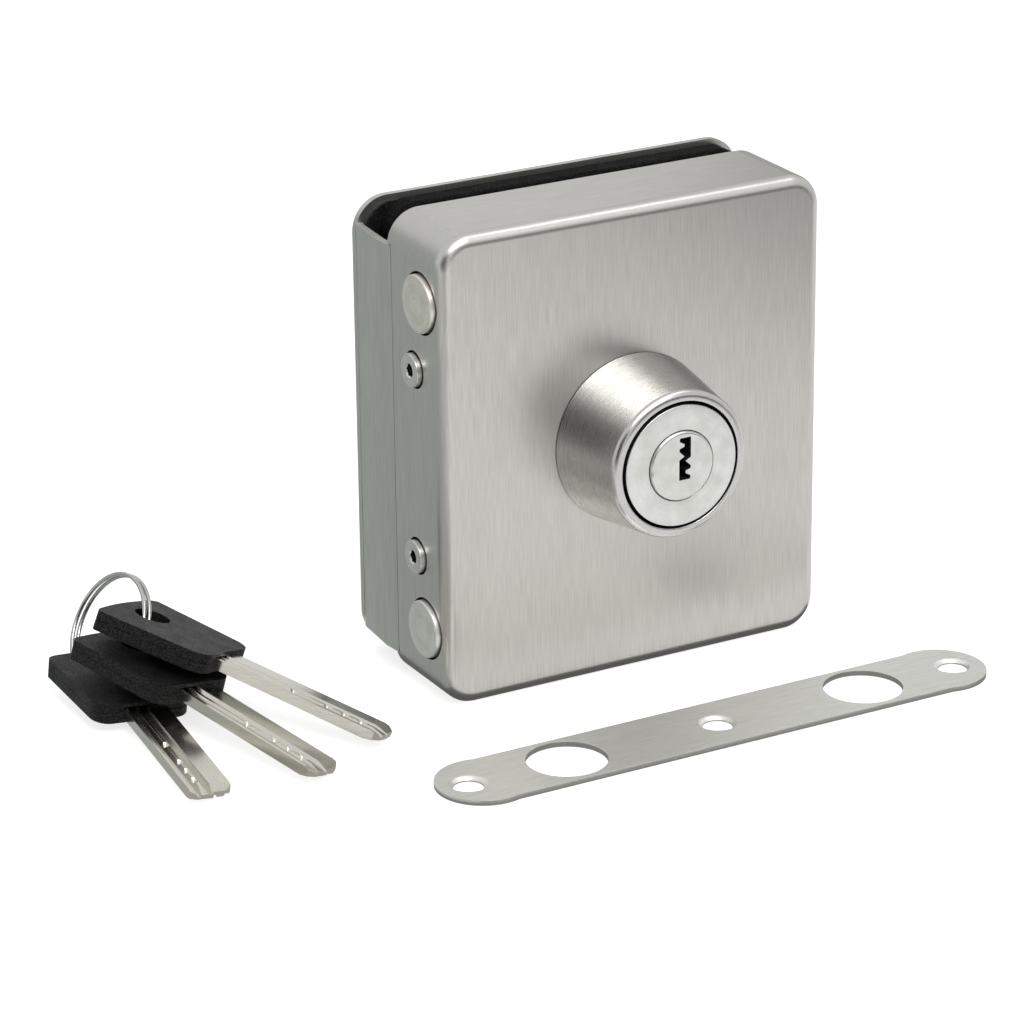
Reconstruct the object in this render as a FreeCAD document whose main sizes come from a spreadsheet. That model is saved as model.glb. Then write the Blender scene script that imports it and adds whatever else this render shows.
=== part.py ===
import FreeCAD, Part
import math
import os

import Sketcher
from FreeCAD import Placement, Rotation, Vector

# Glass door bolt lock with its strike plate and keys, in millimetres.
# The lock stands on its bottom edge: +X to the right, -Y to the front, +Z up.
# The origin is in the middle of the cover's bottom face.

# Driving dimensions
SIZES = {
    # Front cover, a deep drawn stainless box that is open at the back
    "cover_width": 88.6,  # cover, side to side
    "cover_height": 100,  # cover, bottom to top
    "cover_depth": 22,  # cover, front face to rear edge
    "cover_wall": 1.2,  # cover sheet thickness
    "cover_corner": 7,  # cover corner radius seen from the front
    "cover_front_round": 2.6,  # radius of the cover's front edge
    "notch_depth": 1.5,  # step in the cover's rear edge for the flange

    # Bolts and their travel
    "bolt_diameter": 12,  # hardened bolt
    "bolt_spacing": 69.6,  # upper bolt axis to lower bolt axis
    "bolt_from_front": 8.2,  # front face to bolt axis
    "bolt_proud": 1.1,  # bolt standing out when drawn back
    "bolt_length": 42.4,  # bolt, tip to tail
    "bolt_chamfer": 0.8,  # chamfer at the bolt's tip
    "bolt_window": 0.25,  # gap round a bolt in the cover
    "bolt_guide_gap": 0.06,  # radial running gap of a bolt in its guide
    "bolt_flat": 0.5,  # depth of the flat that seats the carriage
    "guide_length": 13.2,  # length of a bolt guide from the case's side
    "guide_wall": 1.6,  # metal behind and beside a bolt guide

    # Cover screws, low head socket screws in the side
    "cover_screw_spacing": 40,  # upper to lower cover screw
    "cover_screw_from_front": 11.4,  # front face to cover screw axis
    "cover_screw_head": 7,  # head diameter
    "cover_screw_head_high": 2.8,  # head height
    "cover_screw_rim": 0.3,  # bevel of the head's rim
    "cover_screw_thread": 4,  # thread diameter
    "cover_screw_reach": 5,  # length under the head
    "cover_screw_socket": 2.5,  # hexagon socket across flats
    "cover_screw_window": 0.3,  # gap round a head in the cover

    # Lock case, a die cast tray behind the cover
    "case_gap": 0.4,  # case to cover
    "case_side": 2.6,  # case side wall
    "case_lock_side": 4,  # case wall on the bolt side
    "case_back": 3.3,  # case rear wall
    "case_setback": 0.2,  # case rear face inside the cover's rear edge

    # Cylinder
    "cylinder_x": -0.5,  # cylinder axis across the cover
    "cylinder_rise": 1,  # cylinder axis above the cover's middle
    "collar_base": 18,  # collar radius at the cover
    "collar_front": 15.4,  # collar radius at the front
    "collar_bore": 13.35,  # collar bore radius at the front
    "collar_round": 1,  # rounding of the collar's front rim
    "collar_lip": 2.6,  # length of the collar's inner lip
    "head_radius": 12.75,  # cylinder head radius
    "barrel_radius": 12.2,  # cylinder barrel radius behind the head
    "head_proud": 0.2,  # cylinder head in front of the collar
    "head_chamfer": 0.6,  # bevel of the cylinder's front face
    "housing_length": 31,  # cylinder housing, front to rear
    "plug_radius": 7.4,  # plug radius
    "plug_gap": 0.05,  # radial running gap of the plug
    "plug_proud": 0.6,  # plug face in front of the housing
    "plug_tail": 1.3,  # plug behind the housing
    "keyway_rise": 1.6,  # keyway's middle above the plug's axis
    "keyway_side": 0.5,  # keyway's middle beside the plug's axis
    "pin_count": 5,  # pin stacks
    "pin_pitch": 4,  # pin stack to pin stack
    "first_pin": 7.6,  # housing face to first pin
    "pin_radius": 1.2,  # pin radius
    "pin_bore_gap": 0.06,  # radial gap of a pin in its bore
    "pin_drop": 0.45,  # pin row below the plug's axis
    "key_pin_end": 7.1,  # outer end of a key pin from the plug's axis plane
    "driver_start": 7.55,  # inner end of a driver pin
    "driver_length": 2.4,  # driver pin length
    "pin_bore_end": 11.3,  # end of a pin bore
    "spring_wall": 0.35,  # wall of a pin spring's envelope
    "clip_thick": 0.8,  # plug clip thickness
    "clip_radius": 8.8,  # plug clip outer radius
    "clip_groove": 6.7,  # groove radius in the plug
    "nut_radius": 15.5,  # cylinder nut outer radius
    "nut_thick": 3,  # cylinder nut thickness
    "bridge_thick": 2.2,  # cylinder bridge plate thickness
    "bridge_height": 33,  # cylinder bridge plate, bottom to top
    "bridge_post_right": 10.3,  # right posts of the bridge inside the cover's side
    "bridge_post_left": 8.8,  # left posts of the bridge inside the cover's side
    "bridge_gap_right": 2.1,  # right end of the bridge to the case's wall
    "bridge_gap_left": 0.8,  # left end of the bridge to the case's wall
    "bridge_post_rise": 8,  # posts above and below the cylinder axis
    "bridge_post_radius": 3.2,  # bridge post radius
    "small_screw": 3,  # small screw thread
    "small_head": 5.5,  # small screw head diameter
    "small_reach": 8,  # small countersunk screw, whole length
    "thread_gap": 0.05,  # radial gap of a thread in its hole
    "screw_socket": 2,  # small hexagon socket across flats

    # Drive from the plug to the bolts
    "tooth_module": 1,  # pitch diameter over tooth count
    "pinion_teeth": 12,  # pinion teeth
    "pressure_angle": 25,  # pressure angle of the teeth, degrees
    "addendum": 0.9,  # tooth height above the pitch line
    "dedendum": 1.15,  # tooth depth below the pitch line
    "backlash": 0.2,  # play between the teeth at the pitch line
    "pinion_inset": 0.15,  # pinion teeth inside the carriage plate's faces
    "hub_radius": 4.6,  # pinion hub radius
    "hub_length": 0.4,  # pinion hub towards the plug
    "journal_radius": 3,  # pinion journal radius
    "journal_length": 3,  # pinion journal in the rear wall
    "journal_gap": 0.05,  # radial running gap of the journal
    "tail_width": 7.6,  # tail bar width
    "tail_thick": 2,  # tail bar thickness
    "tail_gap": 0.08,  # gap round the tail bar
    "tail_grip": 3,  # depth of the tail bar's slots
    "housing_play": 1.7,  # cylinder housing to the carriage plate
    "carriage_gap": 0.5,  # carriage plate to rear wall
    "rack_gaps": 11,  # tooth gaps in the rack
    "window_left": -8.8,  # rack window, left end
    "window_right": 26.2,  # rack window, right end
    "window_top": 8.6,  # rack window above the cylinder axis
    "frame_left": -13,  # carriage frame, left end
    "frame_right": 29,  # carriage frame, right end
    "frame_rise": 16.2,  # carriage frame above the cylinder axis
    "frame_drop": 15.5,  # carriage frame below the cylinder axis
    "web_left": -10.2,  # carriage webs, left side
    "web_right": -3.2,  # carriage webs, right side
    "frame_corner": 2,  # corner radius of the carriage frame
    "web_corner": 1.5,  # corner radius of the webs
    "web_overlap": 4.5,  # carriage web past a bolt's axis
    "guide_pin_x": 4,  # guide pins across the cover
    "guide_pin_radius": 2,  # guide pin radius
    "guide_pin_rise": 12.4,  # upper guide pin above the cylinder axis
    "guide_pin_drop": 11.4,  # lower guide pin below the cylinder axis
    "guide_pin_gap": 0.1,  # radial running gap of a guide pin
    "slot_end_gap": 0.15,  # guide slot past the pin at both ends of the travel
    "guide_head_radius": 2.9,  # guide pin head radius
    "guide_head_high": 1,  # guide pin head height
    "slide_gap": 0.1,  # sliding gap behind a pin head

    # Clamp through the glass
    "glass_gap": 8.4,  # room for the glass between the rubbers
    "gasket_thick": 1,  # front gasket
    "gasket_inset": 2.4,  # front gasket inside the cover's outline
    "liner_thick": 0.8,  # rubber liner on the back plate
    "liner_inset": 1.3,  # liner inside the back plate's rim
    "liner_left": 2.5,  # liner inside the folded side of the back plate
    "pad_thick": 4.5,  # foam rubber pad
    "pad_inset": 5.4,  # pad inside the back plate's left edge
    "pad_top_inset": 0.9,  # pad below the back plate's top edge
    "pad_round": 0.9,  # rounded front edge of the pad
    "clamp_inset": 9.9,  # clamp screws inside the cover's sides
    "clamp_rise": 22,  # clamp screws above and below the middle
    "clamp_thread": 5,  # clamp screw thread
    "clamp_head": 8.3,  # clamp screw head diameter
    "clamp_head_high": 2.7,  # clamp screw head height
    "clamp_reach": 16,  # clamp screw length under the head
    "clamp_hole_gap": 0.2,  # radial gap round a clamp screw
    "clamp_socket": 3,  # clamp screw hexagon socket across flats
    "clamp_socket_deep": 1.7,  # clamp screw hexagon socket depth
    "sleeve_radius": 4,  # nylon sleeve outer radius
    "weld_nut_radius": 4.6,  # weld nut radius

    # Back plate with its folded side flange
    "plate_thick": 1.5,  # back plate sheet thickness
    "plate_corner": 7.2,  # back plate corner radius
    "plate_inset": 1.5,  # back plate's ends inside the cover's top and bottom
    "plate_over": 2,  # back plate past the cover's right side
    "flange_low": 5.4,  # flange, bottom end above the cover's bottom
    "flange_high": 6.7,  # flange, top end below the cover's top
    "flange_gap": 0.15,  # flange to the notch in the cover
    "flange_crease": 4.2,  # front strip of the flange up to its crease
    "flange_lean": 0.5,  # crease standing out of the cover's side
    "bend_radius": 2.2,  # outer radius of the flange's bend

    # Strike plate, lying flat in front of the lock
    "strike_x": -1.2,  # strike plate's middle across
    "strike_y": -45.6,  # strike plate's middle from front to back
    "strike_length": 126.6,  # strike plate, end to end
    "strike_width": 18.8,  # strike plate width
    "strike_thick": 1.2,  # strike plate thickness
    "strike_end_radius": 9.8,  # radius of its round ends
    "strike_hole": 8.2,  # bolt hole radius
    "strike_screw_spacing": 56.9,  # screw hole to screw hole
    "strike_screw_hole": 3,  # screw hole radius
    "strike_sink": 4.06,  # countersink radius
    "strike_sink_deep": 0.85,  # countersink depth

    # Keys, measured from the tip of the blade
    "blade_length": 38.6,  # blade, tip to bow
    "blade_root": 5.5,  # blade inside the bow
    "blade_half_width": 4.35,  # half of the blade's width
    "blade_half_thick": 1.2,  # half of the blade's thickness
    "bow_length": 26.3,  # bow, front to ring end
    "bow_width": 22.4,  # bow width at its middle
    "bow_flare": 2.4,  # bow, ring end wider than the front
    "bow_thick": 4.1,  # bow thickness
    "bow_corner": 4,  # bow corner radius
    "bow_dip": 0.4,  # hollow of the bow's front end
    "bow_crown": 1,  # crown of the bow's ring end
    "bow_round": 0.5,  # rounded edges of the bow
    "bow_slot_gap": 0.05,  # blade to its slot in the bow
    "ring_hole": 3.8,  # ring hole radius
    "ring_hole_back": 19.22,  # ring hole from the bow's front
    "ring_hole_side": -0.7,  # ring hole beside the middle
    "blade_root_gap": 0.1,  # end of the blade to the bottom of its slot
    "tip_upper": 3.2,  # blunt nose of the tip, on the waved side
    "tip_lower": 0.1,  # blunt nose of the tip, on the flat side
    "tip_step": 0.45,  # flat side's end behind the nose
    "tip_slope": 2,  # flat side's corner chamfer, its end behind the nose
    "tip_chamfer": 1.2,  # waved side's corner chamfer, its end behind the nose
    "tip_thick": 0.5,  # half of the nose's thickness
    "tip_bevel": 3.4,  # length of the bevel on the tip's faces
    "key_end_gap": 0.3,  # tip of a pushed in key to the end of the keyway
    "dimple_radius": 1.1,  # dimple radius at the blade's face
    "dimple_depth": 0.9,  # deepest dimple

    # Split ring through the keys
    "ring_radius": 11.4,  # ring radius to the middle of the wire
    "ring_wire": 0.9,  # wire diameter
    "ring_pitch": 1.36,  # wire to wire
    "ring_x": -95.75,  # ring middle across
    "ring_y": 39.08,  # ring middle from front to back
    "ring_z": 11.1,  # ring middle above the floor
    "ring_swing": 4.39,  # direction that the ring's axis points, degrees
    "ring_lean": -30.41,  # rise of the ring's axis, degrees

    # Where the keys lie: ring hole, direction from blade to bow, rise and roll
    "key_1_hole_x": -91.763,
    "key_1_hole_y": 28.352,
    "key_1_hole_z": 14.757,
    "key_1_heading": 121.94,
    "key_1_rise": 12.96,
    "key_1_roll": 16.98,
    "key_2_hole_x": -95.787,
    "key_2_hole_y": 26.57,
    "key_2_hole_z": 9.975,
    "key_2_heading": 106.32,
    "key_2_rise": 8.35,
    "key_2_roll": 12.46,
    "key_3_hole_x": -98.264,
    "key_3_hole_y": 31.378,
    "key_3_hole_z": 4.62,
    "key_3_heading": 85.22,
    "key_3_rise": 3.29,
    "key_3_roll": 5.0,
}

doc = FreeCAD.newDocument("glass_door_bolt_lock")
sheet = doc.addObject("Spreadsheet::Sheet", "Sizes")
for row, (name, value) in enumerate(SIZES.items(), start=1):
    sheet.set(f"A{row}", name.replace("_", " "))
    sheet.set(f"B{row}", str(value))
    sheet.setAlias(f"B{row}", name)
doc.recompute()


def mm(name):
    """Read one driving dimension back from the sheet."""
    return float(sheet.get(name))


# Places that follow from the driving dimensions, as expressions
S = "Sizes."
FRONT = f"(-{S}cover_depth / 2)"
REAR = f"({S}cover_depth / 2)"
LEFT = f"(-{S}cover_width / 2)"
RIGHT = f"({S}cover_width / 2)"
BOLT_Y = f"({FRONT} + {S}bolt_from_front)"
MID_Z = f"({S}cover_height / 2)"
UPPER_Z = f"({MID_Z} + {S}bolt_spacing / 2)"
LOWER_Z = f"({MID_Z} - {S}bolt_spacing / 2)"
CYLINDER_Z = f"({MID_Z} + {S}cylinder_rise)"
SCREW_Y = f"({FRONT} + {S}cover_screw_from_front)"
CASE_FRONT = f"({FRONT} + {S}cover_wall + {S}case_gap)"
CASE_REAR = f"({REAR} - {S}case_setback)"
CASE_INSIDE = f"({CASE_REAR} - {S}case_back)"
CASE_LEFT = f"({LEFT} + {S}cover_wall + {S}case_gap)"
CASE_RIGHT = f"({RIGHT} - {S}cover_wall - {S}case_gap)"
CASE_LOW = f"({S}cover_wall + {S}case_gap)"
CASE_HIGH = f"({S}cover_height - {S}cover_wall - {S}case_gap)"
CARRIAGE_FRONT = f"({BOLT_Y} + {S}bolt_diameter / 2 - {S}bolt_flat)"
CARRIAGE_REAR = f"({CASE_INSIDE} - {S}carriage_gap)"
CARRIAGE_THICK = f"({CARRIAGE_REAR} - {CARRIAGE_FRONT})"
HOUSING_REAR = f"({CARRIAGE_FRONT} - {S}housing_play)"
HOUSING_FRONT = f"({HOUSING_REAR} - {S}housing_length)"
COLLAR_FRONT = f"({HOUSING_FRONT} + {S}head_proud)"
COLLAR_REACH = f"({FRONT} - {COLLAR_FRONT})"
SHOULDER = f"({FRONT} - {S}collar_lip)"
PLUG_FRONT = f"({HOUSING_FRONT} - {S}plug_proud)"
PLUG_REAR = f"({HOUSING_REAR} + {S}plug_tail)"
BRIDGE_FRONT = f"{CASE_FRONT}"
BRIDGE_REAR = f"({CASE_FRONT} + {S}bridge_thick)"
BRIDGE_LEFT = f"({CASE_LEFT} + {S}case_lock_side + {S}bridge_gap_left)"
BRIDGE_RIGHT = f"({CASE_RIGHT} - {S}case_side - {S}bridge_gap_right)"
POST_LEFT = f"({LEFT} + {S}bridge_post_left)"
POST_RIGHT = f"({RIGHT} - {S}bridge_post_right)"
PINION_FRONT = f"({CARRIAGE_FRONT} + {S}pinion_inset)"
PINION_REAR = f"({CARRIAGE_REAR} - {S}pinion_inset)"
HUB_FRONT = f"({PINION_FRONT} - {S}hub_length)"
PITCH_RADIUS = f"({S}tooth_module * {S}pinion_teeth / 2)"
GASKET_REAR = f"({CASE_REAR} + {S}gasket_thick)"
PLATE_FACE = f"({GASKET_REAR} + {S}glass_gap + {S}pad_thick + {S}liner_thick)"
PLATE_REAR = f"({PLATE_FACE} + {S}plate_thick)"
LINER_FACE = f"({PLATE_FACE} - {S}liner_thick)"
PAD_FACE = f"({LINER_FACE} - {S}pad_thick)"
CLAMP_LOW = f"({MID_Z} - {S}clamp_rise)"
CLAMP_HIGH = f"({MID_Z} + {S}clamp_rise)"
CLAMP_X = f"({RIGHT} - {S}clamp_inset)"
PLATE_LOW = f"{S}plate_inset"
PLATE_HIGH = f"({S}cover_height - {S}plate_inset)"
FLANGE_HIGH = f"({S}cover_height - {S}flange_high)"
PLATE_RIGHT = f"({RIGHT} + {S}plate_over)"
FAR = "60"
DIRECTIONS = {
    "+X": Rotation(Vector(0, 1, 0), 90),
    "-X": Rotation(Vector(0, 1, 0), -90),
    "+Y": Rotation(Vector(1, 0, 0), -90),
    "-Y": Rotation(Vector(1, 0, 0), 90),
    "+Z": Rotation(),
}
feature_number = 0


def feature(kind, role):
    """Add a document object with a running number in its name."""
    global feature_number
    feature_number += 1
    return doc.addObject(kind, f"{role}_{feature_number}")


def bind(item, **expressions):
    """Bind properties of an object; two underscores stand for a dot."""
    for name, expression in expressions.items():
        item.setExpression(name.replace("__", "."), expression)


def place(item, x, y, z, direction="+Z"):
    """Bind an object's place and turn its own Z to a direction."""
    item.Placement = Placement(Vector(), DIRECTIONS[direction])
    bind(item, Placement__Base__x=x, Placement__Base__y=y, Placement__Base__z=z)
    return item


def box(low_x, low_y, low_z, high_x, high_y, high_z):
    """A box between two corners given as expressions."""
    item = feature("Part::Box", "box")
    bind(item, Length=f"{high_x} - {low_x}", Width=f"{high_y} - {low_y}", Height=f"{high_z} - {low_z}")
    return place(item, low_x, low_y, low_z)


def cylinder(radius, length, x, y, z, direction="+Y"):
    """A cylinder that starts at a point and runs in a direction."""
    item = feature("Part::Cylinder", "cylinder")
    bind(item, Radius=radius, Height=length)
    return place(item, x, y, z, direction)


def cone(start_radius, end_radius, length, x, y, z, direction="+Y"):
    """A cone that starts at a point and runs in a direction."""
    item = feature("Part::Cone", "cone")
    bind(item, Radius1=start_radius, Radius2=end_radius, Height=length)
    return place(item, x, y, z, direction)


def hexagon(across_flats, length, x, y, z, direction):
    """A hexagonal prism of a socket."""
    item = feature("Part::Prism", "hexagon")
    item.Polygon = 6
    bind(item, Circumradius=f"{across_flats} / sqrt(3)", Height=length)
    return place(item, x, y, z, direction)


def joined(items):
    """The union of several objects."""
    if len(items) == 1:
        return items[0]
    item = feature("Part::MultiFuse", "joined")
    item.Shapes = items
    item.Refine = True
    return item


def cut(base, tools):
    """An object less a list of tools."""
    item = feature("Part::Cut", "cut")
    item.Base = base
    item.Tool = joined(tools)
    item.Refine = True
    return item


def group(items):
    """Separate solids that are kept as one group."""
    item = feature("Part::Compound", "group")
    item.Links = items
    return item


NODES = []


def name_node(item, label):
    """Give a finished sub-part the name of its file."""
    item.Label = label
    NODES.append(item)
    return item


def new_body(label):
    """A body for a sub-part that is made from sketches."""
    return name_node(doc.addObject("PartDesign::Body", label), label)


def new_sketch(body, name, plane, along="0", across="0", height="0"):
    """A sketch on one of the body's own planes, centred where it is needed."""
    sketch = body.newObject("Sketcher::SketchObject", name)
    role = f"{plane}_Plane"
    origin_plane = [item for item in body.Origin.OriginFeatures if item.Role == role][0]
    sketch.AttachmentSupport = [(origin_plane, "")]
    sketch.MapMode = "FlatFace"
    bind(
        sketch,
        AttachmentOffset__Base__x=across,
        AttachmentOffset__Base__y=height,
        AttachmentOffset__Base__z=along,
    )
    return sketch


def limit(sketch, name, kind, *place_and_value, expression):
    """Add a named dimension to a sketch and bind it."""
    index = sketch.addConstraint(Sketcher.Constraint(kind, *place_and_value))
    sketch.renameConstraint(index, name)
    sketch.setExpression(f"Constraints.{name}", expression)


def draw_circle(sketch, radius, start):
    """A circle about the sketch's own origin."""
    index = sketch.addGeometry(Part.Circle(Vector(), Vector(0, 0, 1), start))
    sketch.addConstraint(Sketcher.Constraint("Coincident", index, 3, -1, 1))
    limit(sketch, "radius", "Radius", index, start, expression=radius)


def draw_rectangle(sketch, width, height, corner, start):
    """A rectangle with round corners about the sketch's own origin."""
    half_w, half_h, round_off = start
    flat_w, flat_h = half_w - round_off, half_h - round_off
    lines = [
        ((-flat_w, -half_h), (flat_w, -half_h)),
        ((half_w, -flat_h), (half_w, flat_h)),
        ((flat_w, half_h), (-flat_w, half_h)),
        ((-half_w, flat_h), (-half_w, -flat_h)),
    ]
    centres = [(flat_w, -flat_h), (flat_w, flat_h), (-flat_w, flat_h), (-flat_w, -flat_h)]
    for begin, finish in lines:
        sketch.addGeometry(Part.LineSegment(Vector(*begin, 0), Vector(*finish, 0)))
    for quarter, centre in enumerate(centres):
        circle = Part.Circle(Vector(*centre, 0), Vector(0, 0, 1), round_off)
        first = math.radians(90 * quarter - 90)
        sketch.addGeometry(Part.ArcOfCircle(circle, first, first + math.pi / 2))
    for quarter in range(4):
        sketch.addConstraint(Sketcher.Constraint("Tangent", quarter, 2, 4 + quarter, 1))
        sketch.addConstraint(Sketcher.Constraint("Tangent", 4 + quarter, 2, (quarter + 1) % 4, 1))
    for line, turn in ((0, "Horizontal"), (1, "Vertical"), (2, "Horizontal"), (3, "Vertical")):
        sketch.addConstraint(Sketcher.Constraint(turn, line))
    for arc in (5, 6, 7):
        sketch.addConstraint(Sketcher.Constraint("Equal", 4, arc))
    sketch.addConstraint(Sketcher.Constraint("Symmetric", 4, 3, 6, 3, -1, 1))
    limit(sketch, "width", "DistanceX", 3, 1, 1, 1, 2 * half_w, expression=width)
    limit(sketch, "height", "DistanceY", 0, 1, 2, 2, 2 * half_h, expression=height)
    limit(sketch, "corner", "Radius", 4, round_off, expression=corner)


def draw_box(sketch, width, height, start):
    """A rectangle with sharp corners about the sketch's own origin."""
    half_w, half_h = start
    corners = [(-half_w, -half_h), (half_w, -half_h), (half_w, half_h), (-half_w, half_h)]
    for quarter in range(4):
        begin, finish = corners[quarter], corners[(quarter + 1) % 4]
        sketch.addGeometry(Part.LineSegment(Vector(*begin, 0), Vector(*finish, 0)))
    for quarter in range(4):
        sketch.addConstraint(Sketcher.Constraint("Coincident", quarter, 2, (quarter + 1) % 4, 1))
    for line, turn in ((0, "Horizontal"), (1, "Vertical"), (2, "Horizontal"), (3, "Vertical")):
        sketch.addConstraint(Sketcher.Constraint(turn, line))
    sketch.addConstraint(Sketcher.Constraint("Symmetric", 0, 1, 1, 2, -1, 1))
    limit(sketch, "width", "DistanceX", 0, 1, 0, 2, 2 * half_w, expression=width)
    limit(sketch, "height", "DistanceY", 1, 1, 1, 2, 2 * half_h, expression=height)


def pad(body, sketch, length, backwards=False):
    """A pad along the sketch's normal, or against it."""
    item = body.newObject("PartDesign::Pad", f"{sketch.Name}_pad")
    item.Profile = sketch
    bind(item, Length=length)
    item.Reversed = backwards
    return item


def pocket(body, sketch, depth, backwards=False):
    """A pocket against the sketch's normal, or along it, that must remove something."""
    doc.recompute()
    before = body.Shape.Volume
    item = body.newObject("PartDesign::Pocket", f"{sketch.Name}_pocket")
    item.Profile = sketch
    bind(item, Length=depth)
    item.Reversed = backwards
    doc.recompute()
    if not body.Shape.Volume < before - 1e-6:
        raise RuntimeError(f"{item.Name} cuts nothing")
    return item


def pattern(body, source, direction_sketch, axis, length, count):
    """Repeat a feature in a straight line along one axis of its sketch."""
    item = body.newObject("PartDesign::LinearPattern", f"{source.Name}_pattern")
    item.Originals = [source]
    item.Direction = (direction_sketch, [axis])
    bind(item, Length=length, Occurrences=count)
    body.Tip = item
    return item


def edges_where(shape, test):
    """Names of the edges that pass a test."""
    return [f"Edge{i + 1}" for i, edge in enumerate(shape.Edges) if test(edge)]


def faces_where(shape, test):
    """Names of the faces that pass a test."""
    return [f"Face{i + 1}" for i, face in enumerate(shape.Faces) if test(face)]


# Front cover
def build_front_cover():
    """Drawn cover with its rounded front edge, windows and flange notch."""
    body = new_body("front_cover")
    outline = new_sketch(body, "cover_outline", "XZ", f"-{FRONT}", "0", f"{S}cover_height / 2")
    half_w, half_h = mm("cover_width") / 2, mm("cover_height") / 2
    draw_rectangle(outline, f"{S}cover_width", f"{S}cover_height", f"{S}cover_corner",
                   (half_w, half_h, mm("cover_corner")))
    block = pad(body, outline, f"{S}cover_depth", backwards=True)
    doc.recompute()
    front = -mm("cover_depth") / 2
    at_front = edges_where(body.Shape, lambda e: abs(e.BoundBox.YMax - front) < 1e-6)
    rounding = body.newObject("PartDesign::Fillet", "cover_front_edge")
    rounding.Base = (block, at_front)
    bind(rounding, Radius=f"{S}cover_front_round")
    doc.recompute()
    rear_face = faces_where(body.Shape, lambda f: abs(f.BoundBox.YMin + front) < 1e-6)
    shell = body.newObject("PartDesign::Thickness", "cover_shell")
    shell.Base = (rounding, rear_face)
    bind(shell, Value=f"{S}cover_wall")
    shell.Reversed = True
    shell.Mode = 0
    shell.Join = 0
    doc.recompute()
    opening = new_sketch(body, "cover_cylinder_hole", "XZ", f"-{FRONT}",
                         f"{S}cylinder_x", f"{CYLINDER_Z}")
    draw_circle(opening, f"{S}barrel_radius + {S}case_gap", mm("barrel_radius") + 0.3)
    pocket(body, opening, f"{S}cover_wall + 1")
    bolt_window = new_sketch(body, "cover_bolt_window", "YZ", LEFT, BOLT_Y, LOWER_Z)
    draw_circle(bolt_window, f"{S}bolt_diameter / 2 + {S}bolt_window", mm("bolt_diameter") / 2)
    bolt_pocket = pocket(body, bolt_window, f"{S}cover_front_round + {S}cover_wall", backwards=True)
    pattern(body, bolt_pocket, bolt_window, "V_Axis", f"{S}bolt_spacing", "2")
    screw_window = new_sketch(body, "cover_screw_window", "YZ", LEFT, SCREW_Y,
                              f"{S}cover_height / 2 - {S}cover_screw_spacing / 2")
    draw_circle(screw_window, f"{S}cover_screw_head / 2 + {S}cover_screw_window",
                mm("cover_screw_head") / 2)
    screw_pocket = pocket(body, screw_window, f"{S}cover_wall + 1", backwards=True)
    pattern(body, screw_pocket, screw_window, "V_Axis", f"{S}cover_screw_spacing", "2")
    notch_mid = f"({FLANGE_HIGH} + {S}flange_low) / 2"
    notch = new_sketch(body, "cover_flange_notch", "YZ", LEFT, REAR, notch_mid)
    draw_box(notch, f"2 * {S}notch_depth", f"{FLANGE_HIGH} - {S}flange_low + 2 * {S}flange_gap",
             (mm("notch_depth"), (number(FLANGE_HIGH) - mm("flange_low")) / 2))
    pocket(body, notch, f"{S}cover_wall + {S}cover_corner / 4", backwards=True)
    return body


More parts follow.
